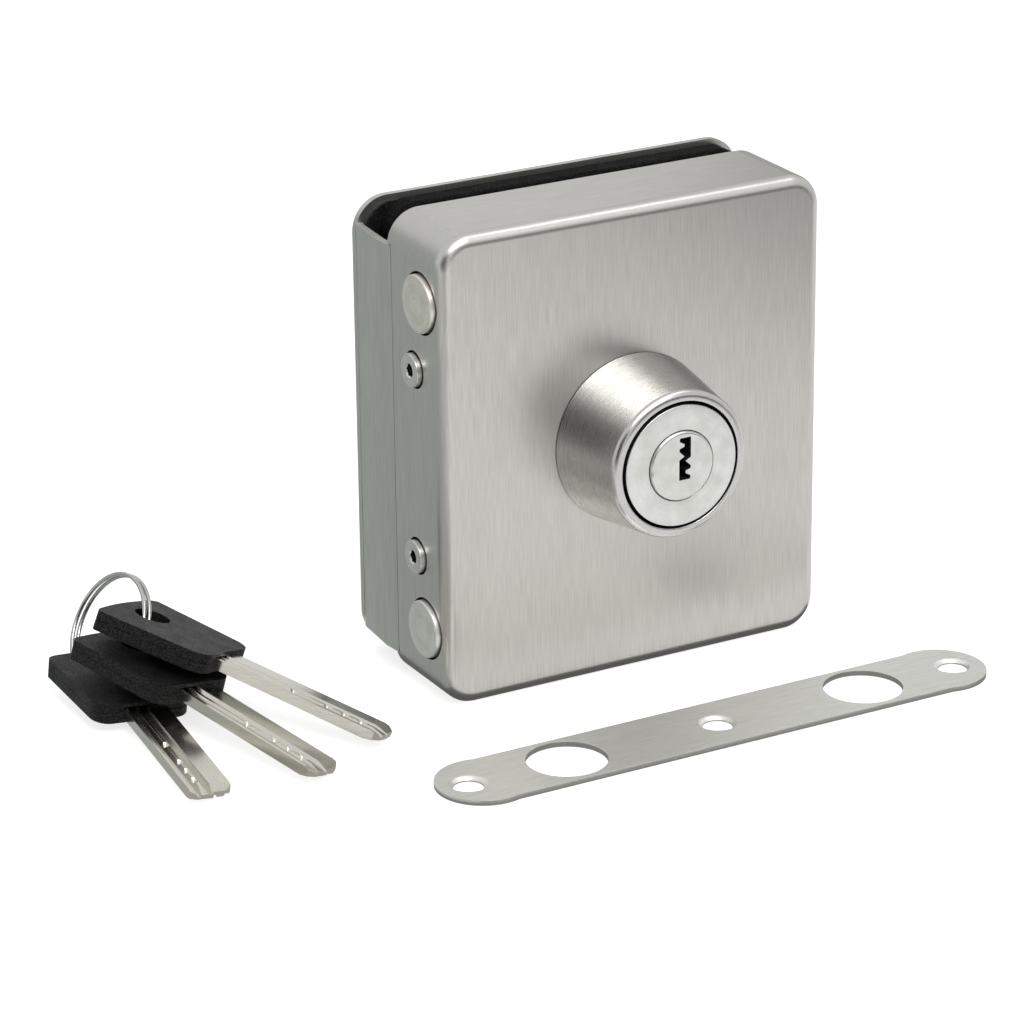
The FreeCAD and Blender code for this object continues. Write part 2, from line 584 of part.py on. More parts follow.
# Lock case
def build_lock_case():
    """Die cast tray with bolt guides, bridge posts and screw holes."""
    shell = box(CASE_LEFT, CASE_FRONT, CASE_LOW, CASE_RIGHT, CASE_REAR, CASE_HIGH)
    room = box(
        f"({CASE_LEFT} + {S}case_lock_side)", f"({CASE_FRONT} - 1)", f"({CASE_LOW} + {S}case_side)",
        f"({CASE_RIGHT} - {S}case_side)", CASE_INSIDE, f"({CASE_HIGH} - {S}case_side)",
    )
    rounded = feature("Part::Fillet", "case_corners")
    rounded.Base = shell
    doc.recompute()
    along_y = [
        (i + 1, mm("cover_corner") - mm("cover_wall") - mm("case_gap"), 0.0)
        for i, edge in enumerate(shell.Shape.Edges)
        if abs(edge.BoundBox.YLength - edge.Length) < 1e-6
    ]
    rounded.Edges = [(index, radius, radius) for index, radius, _ in along_y]
    doc.recompute()
    front = -mm("cover_depth") / 2 + mm("cover_wall") + mm("case_gap")
    bevel = feature("Part::Chamfer", "case_front_bevel")
    bevel.Base = rounded
    setback = mm("cover_front_round") - mm("cover_wall")
    bevel.Edges = [
        (i + 1, setback, setback)
        for i, edge in enumerate(rounded.Shape.Edges)
        if abs(edge.BoundBox.YMax - front) < 1e-6
    ]
    tray = cut(bevel, [room])
    guides = []
    bores = []
    reach = f"{S}bolt_diameter / 2 + {S}guide_wall"
    for height in (UPPER_Z, LOWER_Z):
        guides.append(box(
            f"({CASE_LEFT} + 1)", CASE_FRONT, f"({height} - {reach})",
            f"({CASE_LEFT} + {S}guide_length)", f"({BOLT_Y} + {reach})", f"({height} + {reach})",
        ))
        bores.append(cylinder(
            f"{S}bolt_diameter / 2 + {S}bolt_guide_gap", f"{S}guide_length + 2",
            f"{CASE_LEFT} - 1", BOLT_Y, height, "+X",
        ))
    posts = []
    post_holes = []
    for side in (POST_LEFT, POST_RIGHT):
        for sign in ("+", "-"):
            height = f"({CYLINDER_Z} {sign} {S}bridge_post_rise)"
            posts.append(cylinder(f"{S}bridge_post_radius", f"{CASE_INSIDE} - {BRIDGE_REAR} + 1",
                                  side, BRIDGE_REAR, height))
            post_holes.append(cylinder(f"{S}small_screw / 2 + {S}thread_gap", f"{S}small_reach + 1",
                                       side, f"{BRIDGE_REAR} - 1", height))
    thread_holes = []
    for sign in ("+", "-"):
        height = f"({S}cover_height / 2 {sign} {S}cover_screw_spacing / 2)"
        thread_holes.append(cylinder(f"{S}cover_screw_thread / 2 + {S}thread_gap", f"{S}case_lock_side + 2",
                                     f"{CASE_LEFT} - 1", SCREW_Y, height, "+X"))
    clamp_holes = []
    for side in ("-", ""):
        for height in (CLAMP_LOW, CLAMP_HIGH):
            clamp_holes.append(cylinder(f"{S}clamp_thread / 2 + {S}clamp_hole_gap", f"{S}case_back + 2",
                                        f"{side}{CLAMP_X}", f"{CASE_INSIDE} - 1", height))
    journal = cylinder(f"{S}journal_radius + {S}journal_gap", f"{S}journal_length + 1.2",
                       f"{S}cylinder_x", f"{CASE_INSIDE} - 1", f"{CYLINDER_Z}")
    pin_holes = []
    for height in (f"({CYLINDER_Z} + {S}guide_pin_rise)", f"({CYLINDER_Z} - {S}guide_pin_drop)"):
        pin_holes.append(cylinder(f"{S}guide_pin_radius", f"{S}case_back + 2", f"{S}guide_pin_x",
                                  f"{CASE_INSIDE} - 1", height))
    solid = joined([tray] + guides + posts)
    outside = cut(solid, bores + post_holes + thread_holes + clamp_holes + [journal] + pin_holes)
    return name_node(outside, "lock_case")



def number(expression):
    """Value of an expression over the driving dimensions."""
    value = sheet.evalExpression(expression)
    return float(value.Value) if hasattr(value, "Value") else float(value)


def draw_profile(sketch, points):
    """A closed outline through points given as expressions from the sketch's origin."""
    places = [(number(across), number(up)) for across, up in points]
    count = len(points)
    for i in range(count):
        begin, finish = places[i], places[(i + 1) % count]
        sketch.addGeometry(Part.LineSegment(Vector(*begin, 0), Vector(*finish, 0)))
    for i in range(count):
        sketch.addConstraint(Sketcher.Constraint("Coincident", i, 2, (i + 1) % count, 1))
    for i, (across, up) in enumerate(points):
        if across == "0":
            sketch.addConstraint(Sketcher.Constraint("PointOnObject", i, 1, -2))
        else:
            limit(sketch, f"across_{i}", "DistanceX", -1, 1, i, 1, places[i][0], expression=across)
        if up == "0":
            sketch.addConstraint(Sketcher.Constraint("PointOnObject", i, 1, -1))
        else:
            limit(sketch, f"up_{i}", "DistanceY", -1, 1, i, 1, places[i][1], expression=up)


def turned_about_y(body, name, points, start, x, z):
    """Revolve a profile of (radius, distance behind the start) about an axis along Y."""
    sketch = new_sketch(body, name, "XY", z, x, start)
    draw_profile(sketch, points)
    item = body.newObject("PartDesign::Revolution", f"{name}_turned")
    item.Profile = sketch
    item.ReferenceAxis = (sketch, ["V_Axis"])
    item.Angle = 360
    return item


def holes_through(body, name, start, depth, radius):
    """Four holes of the clamp screws through a plate that starts at a plane."""
    sketch = new_sketch(body, name, "XZ", f"-{start}", "0", f"{S}cover_height / 2")
    across, up = number(CLAMP_X), mm("clamp_rise")
    for sign_x, sign_z in ((1, 1), (-1, 1), (1, -1), (-1, -1)):
        centre = Vector(sign_x * across, sign_z * up, 0)
        sketch.addGeometry(Part.Circle(centre, Vector(0, 0, 1), mm("clamp_thread")))
    limit(sketch, "across", "DistanceX", -1, 1, 0, 3, across, expression=f"{CLAMP_X}")
    limit(sketch, "up", "DistanceY", -1, 1, 0, 3, up, expression=f"{S}clamp_rise")
    sketch.addConstraint(Sketcher.Constraint("Symmetric", 1, 3, 0, 3, -2))
    sketch.addConstraint(Sketcher.Constraint("Symmetric", 2, 3, 0, 3, -1))
    sketch.addConstraint(Sketcher.Constraint("Symmetric", 3, 3, 0, 3, -1, 1))
    for circle in (1, 2, 3):
        sketch.addConstraint(Sketcher.Constraint("Equal", 0, circle))
    limit(sketch, "radius", "Radius", 0, mm("clamp_thread"), expression=radius)
    return pocket(body, sketch, depth)


def rounded_slab(label, left, right, low, high, corner, start, thick):
    """A flat piece with round corners that lies across the Y direction."""
    body = new_body(label)
    sketch = new_sketch(body, f"{label}_outline", "XZ", f"-({start})",
                        f"({left} + {right}) / 2", f"({low} + {high}) / 2")
    half_w = (number(right) - number(left)) / 2
    half_h = (number(high) - number(low)) / 2
    draw_rectangle(sketch, f"{right} - ({left})", f"{high} - ({low})", corner,
                   (half_w, half_h, number(corner)))
    pad(body, sketch, thick, backwards=True)
    return body


# Cylinder and its collar
def build_collar():
    """Tapered collar that stands on the cover round the cylinder head."""
    body = new_body("cylinder_collar")
    lip = f"({S}barrel_radius + {S}plug_gap)"
    turned = turned_about_y(body, "collar_profile", [
        (f"{S}collar_bore", "0"),
        (f"{S}collar_front", "0"),
        (f"{S}collar_base", f"{COLLAR_REACH}"),
        (lip, f"{COLLAR_REACH}"),
        (lip, f"{COLLAR_REACH} - {S}collar_lip"),
        (f"{S}collar_bore", f"{COLLAR_REACH} - {S}collar_lip"),
    ], COLLAR_FRONT, f"{S}cylinder_x", f"{CYLINDER_Z}")
    doc.recompute()
    front = number(COLLAR_FRONT)
    rim = edges_where(body.Shape, lambda e: abs(e.BoundBox.YMax - front) < 1e-6
                      and e.Curve.TypeId == "Part::GeomCircle" and e.Curve.Radius > mm("collar_bore") + 0.1)
    rounding = body.newObject("PartDesign::Fillet", "collar_rim")
    rounding.Base = (turned, rim)
    bind(rounding, Radius=f"{S}collar_round")


def pin_holes(label_radius, start, end):
    """Row of pin bores to the side of the cylinder, between two distances from its axis."""
    bores = []
    for i in range(int(mm("pin_count"))):
        bores.append(cylinder(label_radius, f"{end} - {start}", f"{S}cylinder_x + {start}",
                              f"{HOUSING_FRONT} + {S}first_pin + {i} * {S}pin_pitch",
                              f"{CYLINDER_Z} - {S}pin_drop", "+X"))
    return bores


def build_housing():
    """Cylinder housing with its bevelled face, bore and pin bores."""
    body = new_body("housing_turned")
    NODES.pop()
    bore = f"({S}plug_radius + {S}plug_gap)"
    turned_about_y(body, "housing_profile", [
        (bore, "0"),
        (f"{S}head_radius - {S}head_chamfer", "0"),
        (f"{S}head_radius", f"{S}head_chamfer"),
        (f"{S}head_radius", f"{SHOULDER} - {HOUSING_FRONT}"),
        (f"{S}barrel_radius", f"{SHOULDER} - {HOUSING_FRONT}"),
        (f"{S}barrel_radius", f"{S}housing_length"),
        (bore, f"{S}housing_length"),
    ], HOUSING_FRONT, f"{S}cylinder_x", f"{CYLINDER_Z}")
    name_node(cut(body, pin_holes(f"{S}pin_radius + {S}pin_bore_gap", f"{S}plug_radius / 2",
                                  f"{S}pin_bore_end")), "cylinder_housing")


KEYWAY = [
    (1.35, 4.5), (1.35, 0.2), (0.15, -0.5), (1.3, -1.6), (1.3, -2.2), (0.15, -2.6),
    (0.15, -3.1), (1.3, -3.75), (1.15, -4.45),
]


def build_plug():
    """Plug with the waved keyway, clip groove, pin bores and tail slot."""
    body = new_body("plug_turned")
    NODES.pop()
    length = f"({PLUG_REAR} - {PLUG_FRONT})"
    groove = f"({S}housing_length + {S}plug_proud + {S}slide_gap)"
    turned_about_y(body, "plug_profile", [
        ("0", "0"),
        (f"{S}plug_radius - {S}head_chamfer", "0"),
        (f"{S}plug_radius", f"{S}head_chamfer"),
        (f"{S}plug_radius", groove),
        (f"{S}clip_groove - {S}plug_gap", groove),
        (f"{S}clip_groove - {S}plug_gap", f"{groove} + {S}clip_thick"),
        (f"{S}plug_radius", f"{groove} + {S}clip_thick"),
        (f"{S}plug_radius", length),
        ("0", length),
    ], PLUG_FRONT, f"{S}cylinder_x", f"{CYLINDER_Z}")
    outline = KEYWAY + [(-x, -z) for x, z in KEYWAY]
    section = Part.makePolygon([Vector(x, 0, z) for x, z in outline + outline[:1]])
    depth = number(length) - mm("tail_grip") + 0.5
    keyway = feature("Part::Feature", "keyway")
    keyway.Shape = Part.Face(section).extrude(Vector(0, depth, 0))
    bind(keyway, Placement__Base__x=f"{S}cylinder_x + {S}keyway_side",
         Placement__Base__y=f"{PLUG_FRONT} - 0.5", Placement__Base__z=f"{CYLINDER_Z} + {S}keyway_rise")
    wide = f"({S}tail_width / 2 + {S}tail_gap)"
    thick = f"({S}tail_thick / 2 + {S}tail_gap)"
    slot = box(f"({S}cylinder_x - {thick})", f"({PLUG_REAR} - {S}tail_grip)",
               f"({CYLINDER_Z} - {wide})", f"({S}cylinder_x + {thick})", f"({PLUG_REAR} + 1)",
               f"({CYLINDER_Z} + {wide})")
    bores = pin_holes(f"{S}pin_radius + {S}pin_bore_gap", "0.2", f"({S}plug_radius + 1)")
    name_node(cut(body, [keyway, slot] + bores), "cylinder_plug")


def build_pins():
    """Key pins, driver pins and the envelopes of the springs behind them."""
    name_node(group(pin_holes(f"{S}pin_radius", f"({S}keyway_side + {S}clamp_hole_gap * 3)",
                              f"{S}key_pin_end")), "key_pins")
    driver_end = f"({S}driver_start + {S}driver_length)"
    name_node(group(pin_holes(f"{S}pin_radius", f"{S}driver_start", driver_end)), "driver_pins")
    outer = pin_holes(f"{S}pin_radius - 0.1", driver_end, f"{S}pin_bore_end")
    inner = pin_holes(f"{S}pin_radius - 0.1 - {S}spring_wall", f"({driver_end} - 1)",
                      f"({S}pin_bore_end + 1)")
    name_node(group([cut(tube, [core]) for tube, core in zip(outer, inner)]), "pin_springs")


def build_clip_and_nut():
    """Clip behind the plug and the ring nut behind the bridge plate."""
    clip_start = f"{HOUSING_REAR} + {S}slide_gap"
    clip = new_body("plug_clip")
    inner = f"{S}clip_groove"
    turned_about_y(clip, "clip_profile", [
        (inner, "0"), (f"{S}clip_radius", "0"),
        (f"{S}clip_radius", f"{S}clip_thick - 0.05"), (inner, f"{S}clip_thick - 0.05"),
    ], clip_start, f"{S}cylinder_x", f"{CYLINDER_Z}")
    gap = new_sketch(clip, "clip_mouth", "XZ", f"-({clip_start})", f"{S}cylinder_x + {S}clip_radius",
                     f"{CYLINDER_Z}")
    draw_box(gap, f"{S}clip_radius", f"{S}clip_groove * 1.1",
             (mm("clip_radius") / 2, mm("clip_groove") * 0.55))
    pocket(clip, gap, f"{S}clip_thick")
    nut = new_body("cylinder_nut")
    bore = f"({S}barrel_radius + {S}thread_gap)"
    turned_about_y(nut, "nut_profile", [
        (bore, "0"), (f"{S}nut_radius", "0"),
        (f"{S}nut_radius", f"{S}nut_thick"), (bore, f"{S}nut_thick"),
    ], BRIDGE_REAR, f"{S}cylinder_x", f"{CYLINDER_Z}")
    for name, plane, across, height in (
        ("nut_notch_side", "XZ", f"{S}cylinder_x - {S}nut_radius", f"{CYLINDER_Z}"),
        ("nut_notch_top", "XZ", f"{S}cylinder_x", f"{CYLINDER_Z} + {S}nut_radius"),
        ("nut_notch_right", "XZ", f"{S}cylinder_x + {S}nut_radius", f"{CYLINDER_Z}"),
        ("nut_notch_low", "XZ", f"{S}cylinder_x", f"{CYLINDER_Z} - {S}nut_radius"),
    ):
        notch = new_sketch(nut, name, plane, f"-({BRIDGE_REAR})", across, height)
        draw_box(notch, f"{S}nut_thick", f"{S}nut_thick", (mm("nut_thick") / 2, mm("nut_thick") / 2))
        pocket(nut, notch, f"{S}nut_thick + 1")


POSTS = [
    (POST_LEFT, f"({CYLINDER_Z} + {S}bridge_post_rise)"),
    (POST_LEFT, f"({CYLINDER_Z} - {S}bridge_post_rise)"),
    (POST_RIGHT, f"({CYLINDER_Z} + {S}bridge_post_rise)"),
    (POST_RIGHT, f"({CYLINDER_Z} - {S}bridge_post_rise)"),
]
SINK = f"(({S}small_head - {S}small_screw) / 2)"


def csk_seat(x, y, z, direction):
    """Countersink and clearance hole for a small screw."""
    radius = f"({S}small_screw / 2 + {S}thread_gap * 2)"
    return [
        cone(f"{S}small_head / 2 + {S}thread_gap", f"{S}small_screw / 2 + {S}thread_gap", SINK, x, y, z,
             direction),
        cylinder(radius, f"{S}small_reach", x, y, z, direction),
    ]


def csk_screw(x, y, z, direction):
    """Small countersunk screw whose head lies flush at a place."""
    body = joined([
        cone(f"{S}small_head / 2", f"{S}small_screw / 2", SINK, x, y, z, direction),
        cylinder(f"{S}small_screw / 2", f"{S}small_reach", x, y, z, direction),
    ])
    return cut(body, [hexagon(f"{S}screw_socket", f"{SINK}", x, y, z, direction)])


def build_bridge():
    """Plate that carries the cylinder inside the case, and its screws."""
    plate = box(BRIDGE_LEFT, BRIDGE_FRONT,
                f"({CYLINDER_Z} - {S}bridge_height / 2)", BRIDGE_RIGHT, BRIDGE_REAR,
                f"({CYLINDER_Z} + {S}bridge_height / 2)")
    opening = cylinder(f"{S}barrel_radius + {S}slide_gap", f"{S}bridge_thick + 2",
                       f"{S}cylinder_x", f"{BRIDGE_FRONT} - 1", f"{CYLINDER_Z}")
    seats = []
    for x, z in POSTS:
        seats += csk_seat(x, BRIDGE_FRONT, z, "+Y")
    name_node(cut(plate, [opening] + seats), "cylinder_bridge")
    name_node(group([csk_screw(x, BRIDGE_FRONT, z, "+Y") for x, z in POSTS]), "bridge_screws")


# Drive
def involute_flank(base, start, end):
    """Points of an involute between two radii, measured from its own base point."""
    points = []
    for i in range(7):
        radius = start + (end - start) * i / 6
        roll = math.sqrt(max(radius * radius / (base * base) - 1, 0))
        angle = roll - math.atan(roll)
        points.append((radius, angle))
    return points


def build_pinion():
    """Twelve tooth pinion with a slotted hub and a journal."""
    teeth = int(mm("pinion_teeth"))
    pitch = number(PITCH_RADIUS)
    pressure = math.radians(mm("pressure_angle"))
    base = pitch * math.cos(pressure)
    outer = pitch + mm("addendum")
    root = pitch - mm("dedendum")
    half_tooth = (math.pi * mm("tooth_module") / 2 - mm("backlash") / 2) / (2 * pitch)
    at_pitch = math.tan(pressure) - pressure
    flank = [(radius, half_tooth + at_pitch - angle) for radius, angle in involute_flank(base, base, outer)]

    def at(radius, angle):
        return Vector(radius * math.sin(angle), -radius * math.cos(angle), 0)

    edges = []
    for tooth in range(teeth):
        middle = 2 * math.pi * tooth / teeth
        foot = flank[0][1]
        tip = flank[-1][1]
        rising = Part.BSplineCurve()
        rising.interpolate([at(radius, middle - angle) for radius, angle in flank])
        falling = Part.BSplineCurve()
        falling.interpolate([at(radius, middle + angle) for radius, angle in reversed(flank)])
        following = 2 * math.pi * (tooth + 1) / teeth
        edges.append(Part.LineSegment(at(root, middle - foot), at(base, middle - foot)).toShape())
        edges.append(rising.toShape())
        edges.append(Part.Arc(at(outer, middle - tip), at(outer, middle), at(outer, middle + tip)).toShape())
        edges.append(falling.toShape())
        edges.append(Part.LineSegment(at(base, middle + foot), at(root, middle + foot)).toShape())
        edges.append(Part.Arc(at(root, middle + foot), at(root, (middle + following) / 2),
                              at(root, following - foot)).toShape())
    outline = Part.Wire(Part.__sortEdges__(edges))
    thick = number(f"{PINION_REAR} - {PINION_FRONT}")
    solid = Part.Face(outline).extrude(Vector(0, 0, -thick))
    hub_length = mm("hub_length")
    hub = Part.makeCylinder(mm("hub_radius"), hub_length, Vector(0, 0, 0))
    journal_end = thick + number(f"{CASE_INSIDE} - {PINION_REAR}") + mm("journal_length")
    journal = Part.makeCylinder(mm("journal_radius"), journal_end, Vector(), Vector(0, 0, -1))
    solid = solid.fuse([hub, journal]).removeSplitter()
    wide = mm("tail_width") + 2 * mm("tail_gap")
    thin = mm("tail_thick") + 2 * mm("tail_gap")
    grip = mm("tail_grip")
    slot = Part.makeBox(thin, wide, grip + 1, Vector(-thin / 2, -wide / 2, hub_length - grip))
    item = feature("Part::Feature", "drive_pinion")
    item.Shape = solid.cut(slot)
    item.Placement = Placement(Vector(), DIRECTIONS["-Y"])
    bind(item, Placement__Base__x=f"{S}cylinder_x", Placement__Base__y=PINION_FRONT,
         Placement__Base__z=f"{CYLINDER_Z}")
    name_node(item, "drive_pinion")


def build_tail_bar():
    """Flat bar that turns the pinion with the plug."""
    bar = box(f"({S}cylinder_x - {S}tail_thick / 2)", f"({PLUG_REAR} - {S}tail_grip + {S}slide_gap)",
              f"({CYLINDER_Z} - {S}tail_width / 2)", f"({S}cylinder_x + {S}tail_thick / 2)",
              f"({HUB_FRONT} + {S}tail_grip - {S}slide_gap)", f"({CYLINDER_Z} + {S}tail_width / 2)")
    name_node(bar, "tail_bar")


SCREW_X = f"(({S}web_left + {S}web_right) / 2)"
RACK_LINE = f"({CYLINDER_Z} - {PITCH_RADIUS})"


def build_carriage():
    """Carriage plate with its rack, guide slots and webs to both bolts."""
    body = new_body("carriage_plate")
    NODES.pop()
    left, right = f"{S}frame_left", f"{S}frame_right"
    low, high = f"({CYLINDER_Z} - {S}frame_drop)", f"({CYLINDER_Z} + {S}frame_rise)"
    frame = new_sketch(body, "carriage_frame", "XZ", f"-{CARRIAGE_FRONT}",
                       f"({left} + {right}) / 2", f"({low} + {high}) / 2")
    half_w = (mm("frame_right") - mm("frame_left")) / 2
    half_h = (mm("frame_rise") + mm("frame_drop")) / 2
    corner = mm("frame_corner")
    draw_rectangle(frame, f"{right} - {left}", f"{high} - {low}", f"{S}frame_corner",
                   (half_w, half_h, corner))
    pad(body, frame, CARRIAGE_THICK, backwards=True)
    doc.recompute()
    web_low, web_high = f"({LOWER_Z} - {S}web_overlap)", f"({UPPER_Z} + {S}web_overlap)"
    webs = new_sketch(body, "carriage_webs", "XZ", f"-{CARRIAGE_FRONT}", SCREW_X,
                      f"({web_low} + {web_high}) / 2")
    web_half = (number(web_high) - number(web_low)) / 2
    draw_rectangle(webs, f"{S}web_right - {S}web_left", f"{web_high} - {web_low}", f"{S}web_corner",
                   ((mm("web_right") - mm("web_left")) / 2, web_half, mm("web_corner")))
    pad(body, webs, CARRIAGE_THICK, backwards=True)
    tips = f"({RACK_LINE} + {S}addendum)"
    top = f"({CYLINDER_Z} + {S}window_top)"
    window = new_sketch(body, "carriage_window", "XZ", f"-{CARRIAGE_FRONT}",
                        f"({S}window_left + {S}window_right) / 2", f"({tips} + {top}) / 2")
    draw_box(window, f"{S}window_right - {S}window_left", f"{top} - {tips}",
             ((mm("window_right") - mm("window_left")) / 2, (number(top) - number(tips)) / 2))
    pocket(body, window, CARRIAGE_THICK)
    steps = f"({S}rack_gaps - 1)"
    pitch = f"(pi * {S}tooth_module)"
    first = f"({S}cylinder_x - 2 * {pitch})"
    tooth = new_sketch(body, "rack_gap", "XZ", f"-{CARRIAGE_FRONT}", f"{first} - 3",
                       f"{RACK_LINE} - {S}dedendum")
    half_gap = f"({pitch} / 4 + {S}backlash / 4)"
    slope = f"tan({S}pressure_angle)"
    floor = f"({half_gap} - {S}dedendum * {slope})"
    mouth = f"({half_gap} + ({S}addendum + 0.3) * {slope})"
    draw_profile(tooth, [
        (f"3 - {floor}", "0"), (f"3 + {floor}", "0"),
        (f"3 + {mouth}", f"{S}dedendum + {S}addendum + 0.3"),
        (f"3 - {mouth}", f"{S}dedendum + {S}addendum + 0.3"),
    ])
    gap = pocket(body, tooth, CARRIAGE_THICK)
    pattern(body, gap, tooth, "H_Axis", f"{pitch} * {steps}", f"{S}rack_gaps")
    doc.recompute()
    travel = f"(pi * {PITCH_RADIUS})"
    for name, height in (
        ("upper_slot", f"({CYLINDER_Z} + {S}guide_pin_rise)"),
        ("lower_slot", f"({CYLINDER_Z} - {S}guide_pin_drop)"),
    ):
        slot = new_sketch(body, name, "XZ", f"-{CARRIAGE_FRONT}",
                          f"{S}guide_pin_x + {travel} / 2", height)
        radius = mm("guide_pin_radius") + mm("guide_pin_gap")
        draw_rectangle(slot, f"{travel} + 2 * ({S}guide_pin_radius + {S}guide_pin_gap + {S}slot_end_gap)",
                       f"2 * ({S}guide_pin_radius + {S}guide_pin_gap)",
                       f"{S}guide_pin_radius + {S}guide_pin_gap - 0.05",
                       (number(travel) / 2 + radius, radius, radius - 0.05))
        pocket(body, slot, CARRIAGE_THICK)
    seats = []
    for height in (UPPER_Z, LOWER_Z):
        seats += csk_seat(SCREW_X, CARRIAGE_REAR, height, "-Y")
    name_node(cut(body, seats), "bolt_carriage")
    name_node(group([csk_screw(SCREW_X, CARRIAGE_REAR, height, "-Y") for height in (UPPER_Z, LOWER_Z)]),
              "carriage_screws")


def build_bolt(label, height):
    """Round bolt with a flat and a threaded hole for the carriage."""
    tip = f"({LEFT} - {S}bolt_proud)"
    core = f"({S}bolt_diameter / 2)"
    shaft = joined([
        cone(f"{core} - {S}bolt_chamfer", core, f"{S}bolt_chamfer", tip, BOLT_Y, height, "+X"),
        cylinder(core, f"{S}bolt_length - {S}bolt_chamfer", f"{tip} + {S}bolt_chamfer", BOLT_Y, height,
                 "+X"),
    ])
    flat = box(f"({S}web_left - 0.3)", f"({BOLT_Y} + {core} - {S}bolt_flat)", f"({height} - {core} - 1)",
               f"({tip} + {S}bolt_length + 1)", f"({BOLT_Y} + {core} + 1)", f"({height} + {core} + 1)")
    hole = cylinder(f"{S}small_screw / 2 + {S}thread_gap", f"{S}small_reach", SCREW_X,
                    f"{CARRIAGE_REAR} - {S}small_reach - 0.5", height)
    name_node(cut(shaft, [flat, hole]), label)


def build_guide_pins():
    """Headed pins in the rear wall that the carriage slides on."""
    pins = []
    for height in (f"({CYLINDER_Z} + {S}guide_pin_rise)", f"({CYLINDER_Z} - {S}guide_pin_drop)"):
        start = f"({CARRIAGE_FRONT} - {S}slide_gap - {S}guide_head_high)"
        pins.append(joined([
            cylinder(f"{S}guide_head_radius", f"{S}guide_head_high", f"{S}guide_pin_x", start, height),
            cylinder(f"{S}guide_pin_radius", f"{CASE_REAR} - 0.2 - {start}", f"{S}guide_pin_x", start,
                     height),
        ]))
    name_node(group(pins), "carriage_guide_pins")


# Screws of the cover and of the clamp
def build_cover_screws():
    """Low head socket screws that hold the cover from the side."""
    screws = []
    start = f"({CASE_LEFT} - {S}cover_screw_head_high)"
    for sign in ("+", "-"):
        height = f"({S}cover_height / 2 {sign} {S}cover_screw_spacing / 2)"
        radius = f"({S}cover_screw_head / 2)"
        rim = f"{S}cover_screw_rim"
        solid = joined([
            cone(f"{radius} - {rim}", radius, rim, start, SCREW_Y, height, "+X"),
            cylinder(radius, f"{S}cover_screw_head_high - {rim}", f"{start} + {rim}", SCREW_Y, height,
                     "+X"),
            cylinder(f"{S}cover_screw_thread / 2", f"{S}cover_screw_reach + 1", f"{CASE_LEFT} - 1",
                     SCREW_Y, height, "+X"),
        ])
        socket = hexagon(f"{S}cover_screw_socket", "1.6", start, SCREW_Y, height, "+X")
        screws.append(cut(solid, [socket]))
    name_node(group(screws), "cover_screws")


def build_clamp():
    """Screws through the glass with their sleeves and the nuts on the back plate."""
    screws, sleeves, nuts = [], [], []
    for x in (f"(-{CLAMP_X})", f"{CLAMP_X}"):
        for z in (CLAMP_LOW, CLAMP_HIGH):
            head = f"({CASE_INSIDE} - {S}clamp_head_high)"
            solid = joined([
                cylinder(f"{S}clamp_head / 2", f"{S}clamp_head_high", x, head, z),
                cylinder(f"{S}clamp_thread / 2", f"{S}clamp_reach + 1", x, f"{CASE_INSIDE} - 1", z),
            ])
            screws.append(cut(solid, [hexagon(f"{S}clamp_socket", f"{S}clamp_socket_deep", x, head, z, "+Y")]))
            tube = cylinder(f"{S}sleeve_radius", f"{PAD_FACE} - {CASE_REAR}", x, CASE_REAR, z)
            core = cylinder(f"{S}clamp_thread / 2 + {S}clamp_hole_gap", f"{PAD_FACE} - {CASE_REAR} + 2", x,
                            f"{CASE_REAR} - 1", z)
            sleeves.append(cut(tube, [core]))
            nut_front = f"({PAD_FACE} + 0.3)"
            nut = cylinder(f"{S}weld_nut_radius", f"{PLATE_FACE} - {nut_front}", x, nut_front, z)
            thread = cylinder(f"{S}clamp_thread / 2 + {S}thread_gap", f"{PLATE_FACE} - {nut_front} + 1", x,
                              f"{nut_front} - 1", z)
            nuts.append(cut(nut, [thread]))
    name_node(group(screws), "clamp_screws")
    name_node(group(sleeves), "clamp_sleeves")
    name_node(group(nuts), "plate_nuts")


def build_rubbers():
    """Gasket in front of the glass, foam pad and liner behind it."""
    inset = f"{S}gasket_inset"
    gasket = rounded_slab("front_gasket", f"({LEFT} + {inset})", f"({RIGHT} - {inset})", inset,
                          f"({S}cover_height - {inset})", f"{S}cover_corner - {inset}",
                          CASE_REAR, f"{S}gasket_thick")
    holes_through(gasket, "gasket_holes", CASE_REAR, f"{S}gasket_thick + 1",
                  f"{S}sleeve_radius + {S}clamp_hole_gap")
    through = f"{S}weld_nut_radius + {S}clamp_hole_gap"
    low, high = f"({PLATE_LOW} + {S}pad_top_inset)", f"({PLATE_HIGH} - {S}pad_top_inset)"
    foam = rounded_slab("rear_pad", f"({LEFT} + {S}pad_inset)", f"({PLATE_RIGHT} - {S}liner_inset)",
                        low, high, f"{S}plate_corner - {S}pad_top_inset", PAD_FACE, f"{S}pad_thick")
    doc.recompute()
    front = number(PAD_FACE)
    at_front = edges_where(foam.Shape, lambda e: abs(e.BoundBox.YMax - front) < 1e-6)
    block = foam.Tip
    rounding = foam.newObject("PartDesign::Fillet", "pad_front_edge")
    rounding.Base = (block, at_front)
    bind(rounding, Radius=f"{S}pad_round")
    holes_through(foam, "pad_holes", PAD_FACE, f"{S}pad_thick + 1", through)
    rim = f"{S}liner_inset"
    liner = rounded_slab("rear_liner", f"({LEFT} + {S}liner_left)", f"({PLATE_RIGHT} - {rim})",
                         f"({PLATE_LOW} + {rim})", f"({PLATE_HIGH} - {rim})",
                         f"{S}plate_corner - {rim}", LINER_FACE, f"{S}liner_thick")
    holes_through(liner, "liner_holes", LINER_FACE, f"{S}liner_thick + 1", through)


